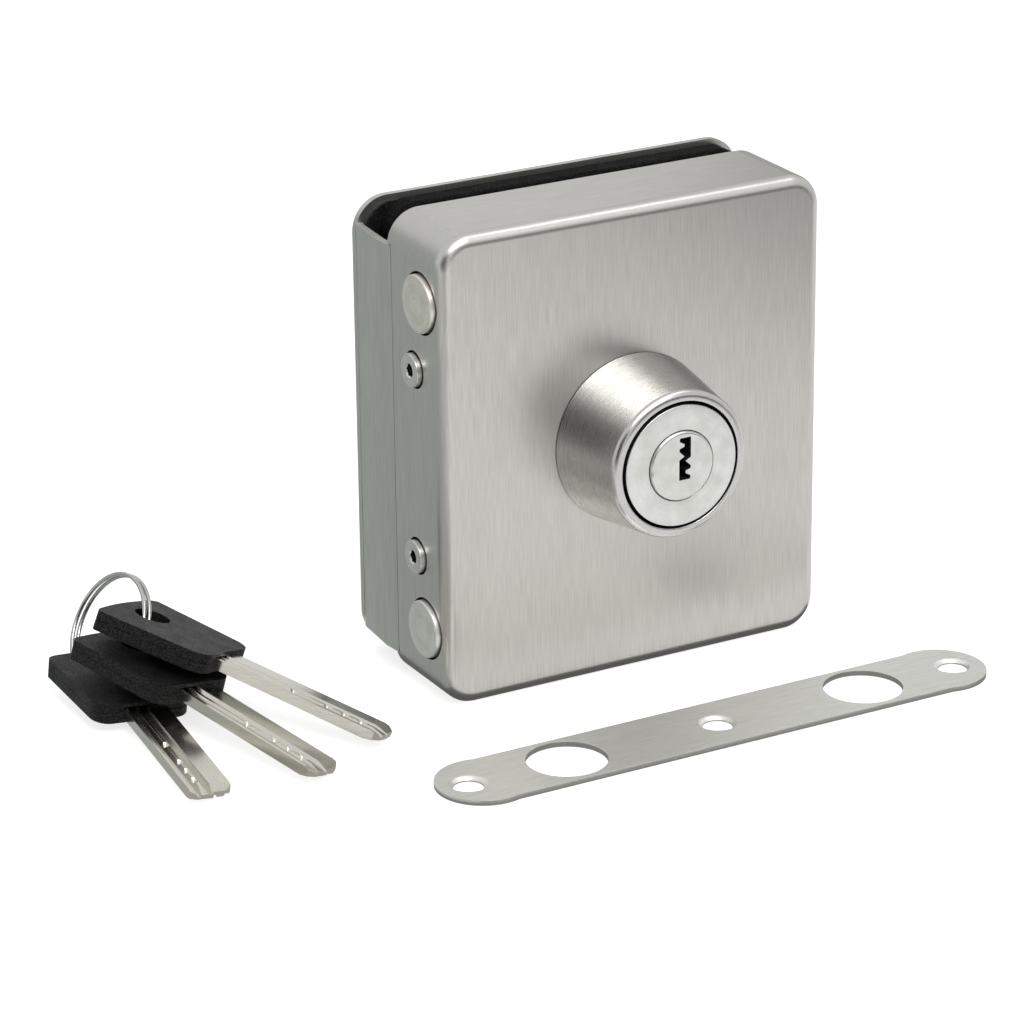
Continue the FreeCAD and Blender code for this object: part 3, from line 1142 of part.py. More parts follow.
# Back plate
def build_back_plate():
    """Pressed back plate with the flange folded forward along its left side."""
    edge = f"({LEFT} + 0.3)"
    plate = rounded_slab("plate_sheet", edge, PLATE_RIGHT, f"{PLATE_LOW}", f"{PLATE_HIGH}",
                         f"{S}plate_corner", PLATE_FACE, f"{S}plate_thick")
    NODES.pop()
    thick = mm("plate_thick")
    outer = mm("bend_radius")
    inner = outer - thick
    x_edge = number(edge)
    x_front = number(LEFT)
    x_crease = x_front - mm("flange_lean")
    y_rear = number(PLATE_REAR)
    y_front = number(REAR) - mm("notch_depth") + mm("flange_gap")
    y_crease = y_front + mm("flange_crease")
    centre_x, centre_y = x_edge + outer, y_rear - outer
    half = math.sqrt(0.5)
    z = mm("flange_low")

    def point(x, y):
        return Vector(x, y, z)

    line = Part.LineSegment
    arc = Part.Arc
    start = point(centre_x + 2, y_rear)
    edges = [
        line(start, point(centre_x, y_rear)),
        arc(point(centre_x, y_rear), point(centre_x - outer * half, centre_y + outer * half),
            point(x_edge, centre_y)),
        line(point(x_edge, centre_y), point(x_crease, y_crease)),
        line(point(x_crease, y_crease), point(x_front, y_front)),
        line(point(x_front, y_front), point(x_front + thick, y_front)),
        line(point(x_front + thick, y_front), point(x_crease + thick, y_crease)),
        line(point(x_crease + thick, y_crease), point(x_edge + thick, centre_y)),
        arc(point(x_edge + thick, centre_y),
            point(centre_x - inner * half, centre_y + inner * half), point(centre_x, y_rear - thick)),
        line(point(centre_x, y_rear - thick), point(centre_x + 2, y_rear - thick)),
        line(point(centre_x + 2, y_rear - thick), start),
    ]
    profile = Part.Wire([edge_.toShape() for edge_ in edges])
    flange = feature("Part::Feature", "flange")
    flange.Shape = Part.Face(profile).extrude(Vector(0, 0, number(FLANGE_HIGH) - z))
    name_node(joined([plate, flange]), "back_plate")


# Strike plate
def build_strike_plate():
    """Flat strike with two bolt holes and three countersunk screw holes."""
    end = f"({S}strike_length / 2 - {S}strike_end_radius)"
    half = f"({S}strike_width / 2)"
    solid = joined([
        box(f"({S}strike_x - {end})", f"({S}strike_y - {half})", "0",
            f"({S}strike_x + {end})", f"({S}strike_y + {half})", f"{S}strike_thick"),
        cylinder(f"{S}strike_end_radius", f"{S}strike_thick", f"{S}strike_x - {end}", f"{S}strike_y", "0",
                 "+Z"),
        cylinder(f"{S}strike_end_radius", f"{S}strike_thick", f"{S}strike_x + {end}", f"{S}strike_y", "0",
                 "+Z"),
    ])
    holes = []
    for sign in ("-", "+"):
        holes.append(cylinder(f"{S}strike_hole", f"{S}strike_thick + 2",
                              f"{S}strike_x {sign} {S}bolt_spacing / 2", f"{S}strike_y", "-1", "+Z"))
    for offset in (f"- {S}strike_screw_spacing", "+ 0", f"+ {S}strike_screw_spacing"):
        x = f"{S}strike_x {offset}"
        holes.append(cylinder(f"{S}strike_screw_hole", f"{S}strike_thick + 2", x, f"{S}strike_y", "-1",
                              "+Z"))
        holes.append(cone(f"{S}strike_screw_hole", f"{S}strike_sink", f"{S}strike_sink_deep", x,
                          f"{S}strike_y", f"{S}strike_thick - {S}strike_sink_deep", "+Z"))
    name_node(cut(solid, holes), "strike_plate")


# Keys
BLADE = [
    (-4.35, 1.2), (-0.2, 1.2), (0.5, 0), (1.5, 1.15), (2.15, 1.15), (2.6, 0.05), (3.15, 0.05),
    (3.75, 1.1), (4.35, 1),
]
CUTS = (1, 0, 0.75, 0.85, 1)


def key_placement(key):
    """Expression of a key's place and turn: its ring hole stays on the ring."""
    k = f"{S}{key}_"
    hole = (f"create(<<placement>>; create(<<vector>>; {k}hole_x; {k}hole_y; {k}hole_z); "
            f"create(<<rotation>>; {k}heading; 0 - {k}rise; {k}roll))")
    tip = (f"create(<<placement>>; create(<<vector>>; 0 - {S}blade_length - {S}ring_hole_back; "
           f"0 - {S}ring_hole_side; 0); create(<<rotation>>; 0; 0; 0))")
    return f"{hole} * {tip}"


def build_blade(key):
    """Dimple key blade with its waved section, pointed tip and drilled dimples."""
    half_w = mm("blade_half_width")
    half_t = mm("blade_half_thick")
    root_gap = mm("blade_root_gap")
    total = mm("blade_length") + mm("blade_root") - root_gap
    section = [(y * half_w / 4.35, z * half_t / 1.2) for y, z in BLADE]
    outline = section + [(-y, -z) for y, z in section]
    wire = Part.makePolygon([Vector(0, y, z) for y, z in outline + outline[:1]])
    blade = Part.Face(wire).extrude(Vector(total, 0, 0))
    nose, side_out, height = mm("tip_thick"), 2 * half_w, 2 * half_t
    plan = [
        Vector(0, mm("tip_upper"), -height), Vector(mm("tip_chamfer"), half_w, -height),
        Vector(total + half_w, half_w, -height), Vector(total + half_w, -half_w, -height),
        Vector(mm("tip_slope"), -half_w, -height),
        Vector(mm("tip_step"), mm("tip_slope") - mm("tip_step") - half_w, -height),
        Vector(mm("tip_step"), -mm("tip_lower"), -height), Vector(0, -mm("tip_lower"), -height),
    ]
    blade = blade.common(Part.Face(Part.makePolygon(plan + plan[:1])).extrude(Vector(0, 0, 2 * height)))
    bevel, thick = mm("tip_bevel"), half_t + root_gap
    side = [
        Vector(0, -side_out, nose), Vector(bevel, -side_out, thick), Vector(total + half_w, -side_out, thick),
        Vector(total + half_w, -side_out, -thick), Vector(bevel, -side_out, -thick),
        Vector(0, -side_out, -nose),
    ]
    blade = blade.common(Part.Face(Part.makePolygon(side + side[:1])).extrude(Vector(0, 2 * side_out, 0)))
    drills = []
    radius = mm("dimple_radius")
    first = (number(f"{PLUG_REAR} - {PLUG_FRONT}") - mm("tail_grip") - mm("key_end_gap")
             - mm("plug_proud") - mm("first_pin"))
    aside = mm("pin_drop") + mm("keyway_rise")
    for i in range(int(mm("pin_count"))):
        depth = mm("dimple_depth") * CUTS[i % len(CUTS)]
        if depth == 0:
            continue
        for sign in (1, -1):
            drills.append(Part.makeCone(
                radius + root_gap, max(radius - depth, 0.15), depth + root_gap,
                Vector(first - mm("pin_pitch") * i, aside * sign, sign * thick), Vector(0, 0, -sign)))
    item = feature("Part::Feature", f"{key}_blade")
    item.Shape = blade.cut(drills)
    item.setExpression("Placement", key_placement(key))
    name_node(item, f"{key}_blade")


def build_bow(key):
    """Moulded bow with a hollow front end, crowned ring end and ring hole."""
    front = mm("blade_length")
    length, thick = mm("bow_length"), mm("bow_thick")
    dip, crown = mm("bow_dip"), mm("bow_crown")
    narrow = (mm("bow_width") - mm("bow_flare")) / 2
    wide = (mm("bow_width") + mm("bow_flare")) / 2

    def at(x, y):
        return Vector(front + x, y, -thick / 2)

    edges = [
        Part.Arc(at(0, -narrow), at(dip, 0), at(0, narrow)),
        Part.LineSegment(at(0, narrow), at(length - crown, wide)),
        Part.Arc(at(length - crown, wide), at(length, 0), at(length - crown, -wide)),
        Part.LineSegment(at(length - crown, -wide), at(0, -narrow)),
    ]
    slab = Part.Face(Part.Wire([edge.toShape() for edge in edges])).extrude(Vector(0, 0, thick))
    corners = [e for e in slab.Edges if abs(e.BoundBox.ZLength - thick) < 1e-6 and e.BoundBox.XLength < 0.01]
    slab = slab.makeFillet(mm("bow_corner"), corners)
    rims = [e for e in slab.Edges if e.BoundBox.ZLength < 1e-6]
    slab = slab.makeFillet(mm("bow_round"), rims)
    root = mm("blade_root")
    half_slot = mm("blade_half_width") + mm("bow_slot_gap")
    deep = mm("blade_half_thick") + mm("bow_slot_gap")
    slot = Part.makeBox(root + 1, 2 * half_slot, 2 * deep, Vector(front - 1, -half_slot, -deep))
    hole = Part.makeCylinder(mm("ring_hole"), thick + 2,
                             Vector(front + mm("ring_hole_back"), mm("ring_hole_side"), -thick / 2 - 1))
    item = feature("Part::Feature", f"{key}_bow")
    item.Shape = slab.cut([slot, hole])
    item.setExpression("Placement", key_placement(key))
    name_node(item, f"{key}_bow")


# Split ring, one wire wound about twice
def biarc(start, start_way, end, end_way):
    """Two arcs that leave one point and reach the next in given directions."""
    chord = end - start
    total = start_way + end_way
    along = chord.dot(total)
    spread = 2 * (1 - start_way.dot(end_way))
    reach = (-along + math.sqrt(along * along + spread * chord.dot(chord))) / spread
    first_corner = start + start_way * reach
    last_corner = end - end_way * reach
    join = (first_corner + last_corner) * 0.5
    arcs = []
    for begin, corner, finish in ((start, first_corner, join), (join, last_corner, end)):
        middle = (begin + finish) * 0.5
        half_chord = (finish - begin).Length / 2
        cosine = half_chord / (corner - begin).Length
        rise = (corner - middle) * (cosine / (1 + cosine))
        arcs.append(Part.Arc(begin, middle + rise, finish).toShape())
    return arcs


def build_split_ring():
    """Split ring as one tube of nearly two turns."""
    radius, pitch, wire = mm("ring_radius"), mm("ring_pitch"), mm("ring_wire")
    quarters = 8
    turns = 1.95

    def spot(angle):
        return Vector(radius * math.cos(angle), radius * math.sin(angle),
                      pitch * (angle / (2 * math.pi) - turns / 2))

    def way(angle):
        direction = Vector(-radius * math.sin(angle), radius * math.cos(angle), pitch / (2 * math.pi))
        return direction.normalize()

    edges = []
    step = turns * 2 * math.pi / quarters
    for i in range(quarters):
        edges += biarc(spot(i * step), way(i * step), spot((i + 1) * step), way((i + 1) * step))
    spine = Part.Wire(edges)
    start = spine.Vertexes[0].Point
    section = Part.Wire(Part.makeCircle(wire / 2, start, way(0)))
    tube = Part.BRepOffsetAPI.MakePipeShell(spine)
    tube.add(section)
    tube.build()
    tube.makeSolid()
    item = feature("Part::Feature", "split_ring")
    item.Shape = tube.shape()
    points = []
    for edge in edges:
        points += edge.discretize(40)
    nearest = 1e9
    for i in range(0, len(points), 2):
        for j in range(i + 160, len(points), 2):
            nearest = min(nearest, (points[i] - points[j]).Length)
    print(f"split_ring least gap to itself {nearest - wire:.3f} mm")
    axis = Vector(
        math.cos(math.radians(mm("ring_lean"))) * math.cos(math.radians(mm("ring_swing"))),
        math.cos(math.radians(mm("ring_lean"))) * math.sin(math.radians(mm("ring_swing"))),
        math.sin(math.radians(mm("ring_lean"))),
    )
    item.Placement = Placement(Vector(mm("ring_x"), mm("ring_y"), mm("ring_z")),
                               Rotation(Vector(0, 0, 1), axis))
    name_node(item, "split_ring")


def build_all():
    """Build every sub-part of the lock, its strike and its keys."""
    build_front_cover()
    build_lock_case()
    build_collar()
    build_housing()
    build_plug()
    build_pins()
    build_clip_and_nut()
    build_bridge()
    build_pinion()
    build_tail_bar()
    build_carriage()
    build_bolt("bolt_upper", UPPER_Z)
    build_bolt("bolt_lower", LOWER_Z)
    build_guide_pins()
    build_cover_screws()
    build_clamp()
    build_rubbers()
    build_back_plate()
    build_strike_plate()
    for key in ("key_1", "key_2", "key_3"):
        build_blade(key)
        build_bow(key)
    build_split_ring()


build_all()
doc.recompute()

bad = [item.Name for item in doc.Objects if "Invalid" in item.State or "Error" in item.State]
if bad:
    raise RuntimeError(f"not computed: {bad}")
os.makedirs("parts", exist_ok=True)
for item in NODES:
    if item.Shape.isNull() or not item.Shape.isValid() or not item.Shape.Solids:
        raise RuntimeError(f"no sound solid in {item.Label}")
    item.Shape.exportStep(f"parts/{item.Label}.step")
    bounds = item.Shape.BoundBox
    print(f"{item.Label}: {len(item.Shape.Solids)} solid, {item.Shape.Volume:.0f} mm3, "
          f"x {bounds.XMin:.1f} to {bounds.XMax:.1f}, y {bounds.YMin:.1f} to {bounds.YMax:.1f}, "
          f"z {bounds.ZMin:.1f} to {bounds.ZMax:.1f}")
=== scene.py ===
import logging
import math
from collections.abc import Callable, Mapping
from dataclasses import dataclass
from enum import Enum

import bmesh
import bpy
from mathutils import Matrix, Vector


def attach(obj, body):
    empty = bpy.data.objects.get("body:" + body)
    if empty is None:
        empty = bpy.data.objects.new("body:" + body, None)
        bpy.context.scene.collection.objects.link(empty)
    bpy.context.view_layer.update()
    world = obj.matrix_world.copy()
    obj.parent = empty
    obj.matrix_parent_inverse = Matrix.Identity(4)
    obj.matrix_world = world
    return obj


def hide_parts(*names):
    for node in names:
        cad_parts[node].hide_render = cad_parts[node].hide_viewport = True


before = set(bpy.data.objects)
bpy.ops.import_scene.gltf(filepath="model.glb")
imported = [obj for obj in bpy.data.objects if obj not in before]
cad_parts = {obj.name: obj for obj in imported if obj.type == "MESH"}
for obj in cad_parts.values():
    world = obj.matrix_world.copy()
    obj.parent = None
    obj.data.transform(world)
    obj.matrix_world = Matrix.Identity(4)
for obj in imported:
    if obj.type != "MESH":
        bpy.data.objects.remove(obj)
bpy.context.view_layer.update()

Point = tuple[float, float, float]
Profile = list[tuple[float, float]]
Edge = bmesh.types.BMEdge
Face = bmesh.types.BMFace
Socket = bpy.types.NodeSocket

log = logging.getLogger("glass_door_bolt_lock")

# Metres in a millimetre: all the sizes of the lock are in millimetres, those of the studio in metres.
MM = 0.001
# Millimetres within which a corner counts as lying on a plane.
TOUCH = 1e-3
# Radians past which an edge counts as sharp.
SHARP = 0.5
# Part of a unit normal along an axis that tells walls beside the axis from faces across it.
WALL = 0.5
# Millimetres within which the ends of a turned profile are welded.
WELD = 1e-4
# Millimetres that a cutting shape runs past what it cuts.
PAST = 3.0
# Faces across an eased edge.
EASE_STEPS = 2
# Values between which most of a noise pattern lies.
PATTERN = (0.3, 0.7)


def linear(code: str) -> tuple[float, float, float, float]:
    """Turn an sRGB hex value into linear colour.

    Args:
        code: Colour as six hex digits.

    Returns:
        Red, green, blue and alpha as Blender takes them.
    """
    values = [int(code[i:i + 2], 16) / 255 for i in (0, 2, 4)]
    levels = [v / 12.92 if v <= 0.04045 else ((v + 0.055) / 1.055) ** 2.4 for v in values]
    return (levels[0], levels[1], levels[2], 1.0)


def add_node(tree: bpy.types.NodeTree, kind: str, settings: Mapping[str | int, object] | None = None,
             links: Mapping[str | int, Socket] | None = None) -> bpy.types.Node:
    """Add a node with its settings and the links into it.

    Args:
        tree: Node tree that gets the node.
        kind: Blender's name of the node type.
        settings: Property names or input names to values.
        links: Input names or numbers to the output sockets that feed them.

    Returns:
        The new node.
    """
    node = tree.nodes.new(kind)
    for name, value in (settings or {}).items():
        if isinstance(name, str) and hasattr(node, name):
            setattr(node, name, value)
        else:
            node.inputs[name].default_value = value
    for name, socket in (links or {}).items():
        tree.links.new(socket, node.inputs[name])
    return node


def lies_on(item: Edge | Face, axis: int, place: float) -> bool:
    """Tell whether all corners of an edge or face lie on a plane across an axis.

    Args:
        item: The edge or face.
        axis: Number of the axis: 0 for X, 1 for Y, 2 for Z.
        place: Where the plane crosses that axis, in millimetres.

    Returns:
        Whether they all do.
    """
    return all(abs(vert.co[axis] - place) < TOUCH for vert in item.verts)


def is_sharp(edge: Edge) -> bool:
    """Tell whether the two faces at an edge meet at a clear angle."""
    return edge.calc_face_angle(0) > SHARP


class Axis(Enum):
    """Direction that a grain or a lathe follows."""

    X = (1.0, 0.0, 0.0)
    Y = (0.0, 1.0, 0.0)
    Z = (0.0, 0.0, 1.0)


@dataclass(frozen=True)
class Finish:
    """What a surface is made of and how it was made.

    Gloss holds the parts of the roughness that the two ends of its pattern get.
    """

    name: str
    colour: str
    roughness: float
    metallic: float = 0.0
    specular: float = 0.5
    gloss: tuple[float, float] = (0.9, 1.1)

    def material(self) -> bpy.types.Material:
        """Make the material, or give the one already made under this name.

        Returns:
            The finished material.
        """
        known = bpy.data.materials.get(self.name)
        if known:
            return known
        made = bpy.data.materials.new(self.name)
        made.use_nodes = True
        tree = made.node_tree
        shader = tree.nodes["Principled BSDF"]
        shader.inputs["Metallic"].default_value = self.metallic
        shader.inputs["Roughness"].default_value = self.roughness
        shader.inputs["Specular IOR Level"].default_value = self.specular
        shader.inputs["Base Color"].default_value = linear(self.colour)
        place = add_node(tree, "ShaderNodeTexCoord")
        self.detail(tree, shader, place.outputs["Object"])
        return made

    def detail(self, tree: bpy.types.NodeTree, shader: bpy.types.Node, place: Socket) -> None:
        """Add the surface's own detail.

        Args:
            tree: The material's nodes.
            shader: Its Principled BSDF.
            place: Object coordinates.
        """
        raise NotImplementedError

    def spread(self, tree: bpy.types.NodeTree, value: Socket, given: tuple[float, float],
               wanted: tuple[float, float] = (0.0, 1.0)) -> Socket:
        """Map one range of a pattern to another.

        Args:
            tree: The material's nodes.
            value: The pattern.
            given: Pattern values where the range starts and ends.
            wanted: What they become.

        Returns:
            The mapped value.
        """
        (start, end), (low, high) = given, wanted
        node = add_node(tree, "ShaderNodeMapRange",
                        {"From Min": start, "From Max": end, "To Min": low, "To Max": high}, {"Value": value})
        return node.outputs["Result"]

    def blend(self, tree: bpy.types.NodeTree, first: Socket, second: Socket, share: float) -> Socket:
        """Add a share of one pattern to the rest of another.

        Args:
            tree: The material's nodes.
            first: The main pattern.
            second: The pattern mixed into it.
            share: The second's share, from nought to one.

        Returns:
            The two as one pattern.
        """
        part = add_node(tree, "ShaderNodeMath", {"operation": "MULTIPLY", 1: share}, {0: second})
        both = add_node(tree, "ShaderNodeMath", {"operation": "MULTIPLY_ADD", 1: 1 - share},
                        {0: first, 2: part.outputs[0]})
        return both.outputs[0]

    def tint(self, tree: bpy.types.NodeTree, shader: bpy.types.Node, value: Socket, dark: str,
             tones: tuple[float, float]) -> None:
        """Colour the surface by a pattern, from a dark tone to its own colour.

        Args:
            tree: The material's nodes.
            shader: Its Principled BSDF.
            value: The pattern.
            dark: The dark tone.
            tones: Pattern values that give the dark tone and the surface's own colour.
        """
        mix = add_node(tree, "ShaderNodeMix", {"data_type": "RGBA", 6: linear(dark), 7: linear(self.colour)},
                       {0: self.spread(tree, value, tones)})
        tree.links.new(mix.outputs[2], shader.inputs["Base Color"])

    def shine(self, tree: bpy.types.NodeTree, shader: bpy.types.Node, value: Socket) -> None:
        """Vary the roughness by a pattern.

        Args:
            tree: The material's nodes.
            shader: Its Principled BSDF.
            value: The pattern.
        """
        low, high = (self.roughness * part for part in self.gloss)
        rough = self.spread(tree, value, PATTERN, (low, min(high, 1.0)))
        tree.links.new(rough, shader.inputs["Roughness"])

    def relief(self, tree: bpy.types.NodeTree, shader: bpy.types.Node, value: Socket,
               depth: float, strength: float) -> None:
        """Raise and lower the surface by a pattern.

        Args:
            tree: The material's nodes.
            shader: Its Principled BSDF.
            value: The pattern.
            depth: Height of the pattern in millimetres.
            strength: How much of it shows.
        """
        bump = add_node(tree, "ShaderNodeBump", {"Strength": strength, "Distance": depth * MM},
                        {"Height": value})
        tree.links.new(bump.outputs["Normal"], shader.inputs["Normal"])


@dataclass(frozen=True)
class BrushedMetal(Finish):
    """Sheet that was brushed with an abrasive belt: long fine lines in one direction.

    Tones are the pattern values that give the dark tone and the colour. Face_on says how squarely the
    grain meets a face where the lines turn aside.
    """

    metallic: float = 1.0
    gloss: tuple[float, float] = (1.12, 0.9)
    dark: str = "b0b0aa"
    tones: tuple[float, float] = (0.36, 0.64)
    grain: Axis = Axis.Z
    grain_mm: float = 0.2
    run_mm: float = 7.0
    depth_mm: float = 0.006
    strength: float = 0.3
    turn: float = 0.0
    fine_octaves: float = 3.0
    broad_octaves: float = 2.0
    broad_times: float = 14.0
    broad_share: float = 0.16
    face_on: tuple[float, float] = (0.6, 0.8)

    def lines(self, tree: bpy.types.NodeTree, place: Socket, grain: Axis) -> tuple[Socket, ...]:
        """Fine lines and soft broad streaks that run along one axis.

        Args:
            tree: The material's nodes.
            place: Object coordinates.
            grain: Axis that the lines follow.

        Returns:
            The fine pattern and the broad one.
        """
        found = []
        for times, octaves in ((1.0, self.fine_octaves), (self.broad_times, self.broad_octaves)):
            width = self.grain_mm * times * MM
            run = self.run_mm * math.sqrt(times) * MM
            lay = add_node(tree, "ShaderNodeMapping",
                           {"vector_type": "TEXTURE", "Rotation": (0, 0, math.radians(self.turn)),
                            "Scale": [run if part else width for part in grain.value]}, {"Vector": place})
            noise = add_node(tree, "ShaderNodeTexNoise", {"Scale": 1.0, "Detail": octaves},
                             {"Vector": lay.outputs["Vector"]})
            found.append(noise.outputs["Fac"])
        return tuple(found)

    def detail(self, tree: bpy.types.NodeTree, shader: bpy.types.Node, place: Socket) -> None:
        """Lines that vary colour, gloss and height; they turn aside where the grain meets the face.

        Args:
            tree: The material's nodes.
            shader: Its Principled BSDF.
            place: Object coordinates.
        """
        facing = add_node(tree, "ShaderNodeVectorMath", {"operation": "DOT_PRODUCT", 1: self.grain.value},
                          {0: place.node.outputs["Normal"]})
        level = add_node(tree, "ShaderNodeMath", {"operation": "ABSOLUTE"}, {0: facing.outputs["Value"]})
        flat = self.spread(tree, level.outputs[0], self.face_on)
        across = Axis.X if self.grain is Axis.Z else Axis.Y
        upright = self.lines(tree, place, self.grain)
        lying = self.lines(tree, place, across)
        fine, broad = (add_node(tree, "ShaderNodeMix", {}, {0: flat, 2: one, 3: other}).outputs[0]
                       for one, other in zip(upright, lying))
        pattern = self.blend(tree, fine, broad, self.broad_share)
        self.tint(tree, shader, pattern, self.dark, self.tones)
        self.shine(tree, shader, pattern)
        self.relief(tree, shader, fine, self.depth_mm, self.strength)


@dataclass(frozen=True)
class TurnedMetal(Finish):
    """Metal turned on a lathe: fine tool rings about its axis, along its length as across its face.

    Tones are the pattern values that give the dark tone and the colour, and cloud is the share of wear.
    """

    metallic: float = 1.0
    gloss: tuple[float, float] = (1.15, 0.88)
    dark: str = "a6a6a2"
    tones: tuple[float, float] = (0.35, 0.65)
    axis: Axis = Axis.Y
    centre_mm: Point = (0.0, 0.0, 0.0)
    pitch_mm: float = 0.35
    depth_mm: float = 0.012
    strength: float = 0.3
    cloud: float = 0.35
    cloud_mm: float = 2.6316

    def detail(self, tree: bpy.types.NodeTree, shader: bpy.types.Node, place: Socket) -> None:
        """Rings of uneven depth and width, and soft clouds of wear.

        Args:
            tree: The material's nodes.
            shader: Its Principled BSDF.
            place: Object coordinates.
        """
        shift = [-value * MM for value in self.centre_mm]
        lay = add_node(tree, "ShaderNodeMapping", {"Location": shift}, {"Vector": place}).outputs["Vector"]
        across = [0.0 if part else 1.0 for part in self.axis.value]
        flat = add_node(tree, "ShaderNodeVectorMath", {"operation": "MULTIPLY", 1: across}, {0: lay})
        reach = add_node(tree, "ShaderNodeVectorMath", {"operation": "LENGTH"}, {0: flat.outputs["Vector"]})
        along = add_node(tree, "ShaderNodeVectorMath", {"operation": "DOT_PRODUCT", 1: self.axis.value},
                         {0: lay})
        join = add_node(tree, "ShaderNodeCombineXYZ", {},
                        {"X": reach.outputs["Value"], "Y": along.outputs["Value"]})
        rings = add_node(tree, "ShaderNodeTexNoise",
                         {"Scale": 1 / (self.pitch_mm * MM), "Detail": 3.0, "Roughness": 0.6},
                         {"Vector": join.outputs["Vector"]})
        wear = add_node(tree, "ShaderNodeTexNoise", {"Scale": 1 / (self.cloud_mm * MM), "Detail": 4.0},
                        {"Vector": lay})
        pattern = self.blend(tree, rings.outputs["Fac"], wear.outputs["Fac"], self.cloud)
        self.tint(tree, shader, pattern, self.dark, self.tones)
        self.shine(tree, shader, pattern)
        self.relief(tree, shader, rings.outputs["Fac"], self.depth_mm, self.strength)


@dataclass(frozen=True)
class GrainySurface(Finish):
    """Cast metal, eroded plastic or rubber: an even grain in every direction.

    Off metal, glint holds the parts of the specular level between the pattern values of glint_tones.
    """

    dark: str = "202020"
    grain_mm: float = 0.4
    depth_mm: float = 0.05
    strength: float = 0.5
    speckle: float = 0.5
    speckle_reach: float = 0.2
    cloud_times: float = 12.0
    glint: tuple[float, float] = (0.3, 1.9)
    glint_tones: tuple[float, float] = (0.4, 0.66)

    def detail(self, tree: bpy.types.NodeTree, shader: bpy.types.Node, place: Socket) -> None:
        """Grain in height, speckles in colour and, off metal, in gloss, over soft clouds of gloss.

        Args:
            tree: The material's nodes.
            shader: Its Principled BSDF.
            place: Object coordinates.
        """
        grain = add_node(tree, "ShaderNodeTexNoise",
                         {"Scale": 1 / (self.grain_mm * MM), "Detail": 4.0, "Roughness": 0.65},
                         {"Vector": place})
        cloud = add_node(tree, "ShaderNodeTexNoise",
                         {"Scale": 1 / (self.grain_mm * self.cloud_times * MM), "Detail": 2.0},
                         {"Vector": place})
        edge = self.speckle * self.speckle_reach
        self.tint(tree, shader, grain.outputs["Fac"], self.dark, (PATTERN[0] + edge, PATTERN[1] - edge))
        self.shine(tree, shader, cloud.outputs["Fac"])
        if not self.metallic:
            low, high = (self.specular * part for part in self.glint)
            level = self.spread(tree, grain.outputs["Fac"], self.glint_tones, (low, high))
            tree.links.new(level, shader.inputs["Specular IOR Level"])
        self.relief(tree, shader, grain.outputs["Fac"], self.depth_mm, self.strength)


@dataclass(frozen=True)
class KeyPose:
    """Where one key lies, by the middle of its ring hole; angles in degrees."""

    number: int
    hole: Point
    heading: float
    rise: float
    roll: float

    def place(self, back: float, side: float) -> Matrix:
        """Placement of the key's own frame, in millimetres.

        Args:
            back: The hole's distance from the tip.
            side: How far the hole lies beside the middle.

        Returns:
            The placement.
        """
        heading, rise, roll = (math.radians(a) for a in (self.heading, self.rise, self.roll))
        turn = (Matrix.Rotation(heading, 4, "Z") @ Matrix.Rotation(-rise, 4, "Y")
                @ Matrix.Rotation(roll, 4, "X"))
        return Matrix.Translation(self.hole) @ turn @ Matrix.Translation((-back, -side, 0))


CYLINDER: Point = (-0.5, 0.0, 51.0)
BOLT_Y = -2.8
BOLT_Z = (84.8, 15.2)
KEY_POSES = (
    KeyPose(1, (-91.763, 28.352, 14.757), 121.94, 12.96, 16.98),
    KeyPose(2, (-95.787, 26.57, 9.975), 106.32, 8.35, 12.46),
    KeyPose(3, (-98.264, 31.378, 4.62), 85.22, 3.29, 5.0),
)

# Stainless sheet, belt brushed upright: soft silver with fine upright lines that blur its reflections
# sideways. The belt's lines are about 0.05 mm wide, and drawn at 0.2 mm to show.
COVER_STEEL = BrushedMetal("stainless_brushed_upright", "cecdc8", 0.33, dark="c0bfbb")
# The same sheet, a little duller on the plate behind the glass, with its lines drawn as coarse.
PLATE_STEEL = BrushedMetal("stainless_brushed_plate", "d0d0cb", 0.37, dark="c0c0bb")
# Stainless strip, ground along its length: pale and nearly matt, with lines lengthwise, drawn coarser.
STRIKE_STEEL = BrushedMetal("stainless_ground_lengthwise", "f4f4f0", 0.47, dark="e2e2dd", grain=Axis.X)
# Turned stainless: bright and dark fans round the cone. Its tool rings are about 0.1 mm apart, and
# drawn at 0.35 mm to show.
COLLAR_STEEL = TurnedMetal("stainless_turned_collar", "cdccca", 0.27, dark="c1c0be", centre_mm=CYLINDER)
# Turned brass under nickel: a smooth warm grey ring. The plating fills the tool rings, so they are
# shallow, and clouds of wear show more.
HEAD_NICKEL = TurnedMetal("brass_nickel_plated_head", "dfdfdc", 0.3, dark="d2d2ce", centre_mm=CYLINDER,
                          depth_mm=0.005, cloud=0.7)
# The same on the plug's face, worn a little darker and smoother by the key.
PLUG_NICKEL = TurnedMetal("brass_nickel_plated_plug", "dbdbd8", 0.28, dark="cfcfcb", centre_mm=CYLINDER,
                          depth_mm=0.005, cloud=0.7)
# Bare turned brass of the pins: yellow, for the views into the keyway.
RAW_BRASS = TurnedMetal("brass_turned", "cda456", 0.35, dark="b48c42", centre_mm=CYLINDER)
# Hardened steel rod with a faced end: pale, wide soft shine and rings about its own axis, drawn coarser.
UPPER_BOLT = TurnedMetal("hardened_steel_upper", "f2efe8", 0.44, dark="d8d4cc", axis=Axis.X,
                         centre_mm=(0, BOLT_Y, BOLT_Z[0]))
LOWER_BOLT = TurnedMetal("hardened_steel_lower", "f2f1ec", 0.44, dark="d8d6d0", axis=Axis.X,
                         centre_mm=(0, BOLT_Y, BOLT_Z[1]))
# Cold headed stainless: clean bright screw heads with hardly any grain.
SCREW_STEEL = GrainySurface("stainless_cold_headed", "e2e2de", 0.34, metallic=1.0, dark="cfcfcb",
                            grain_mm=0.5, depth_mm=0.01, strength=0.2)
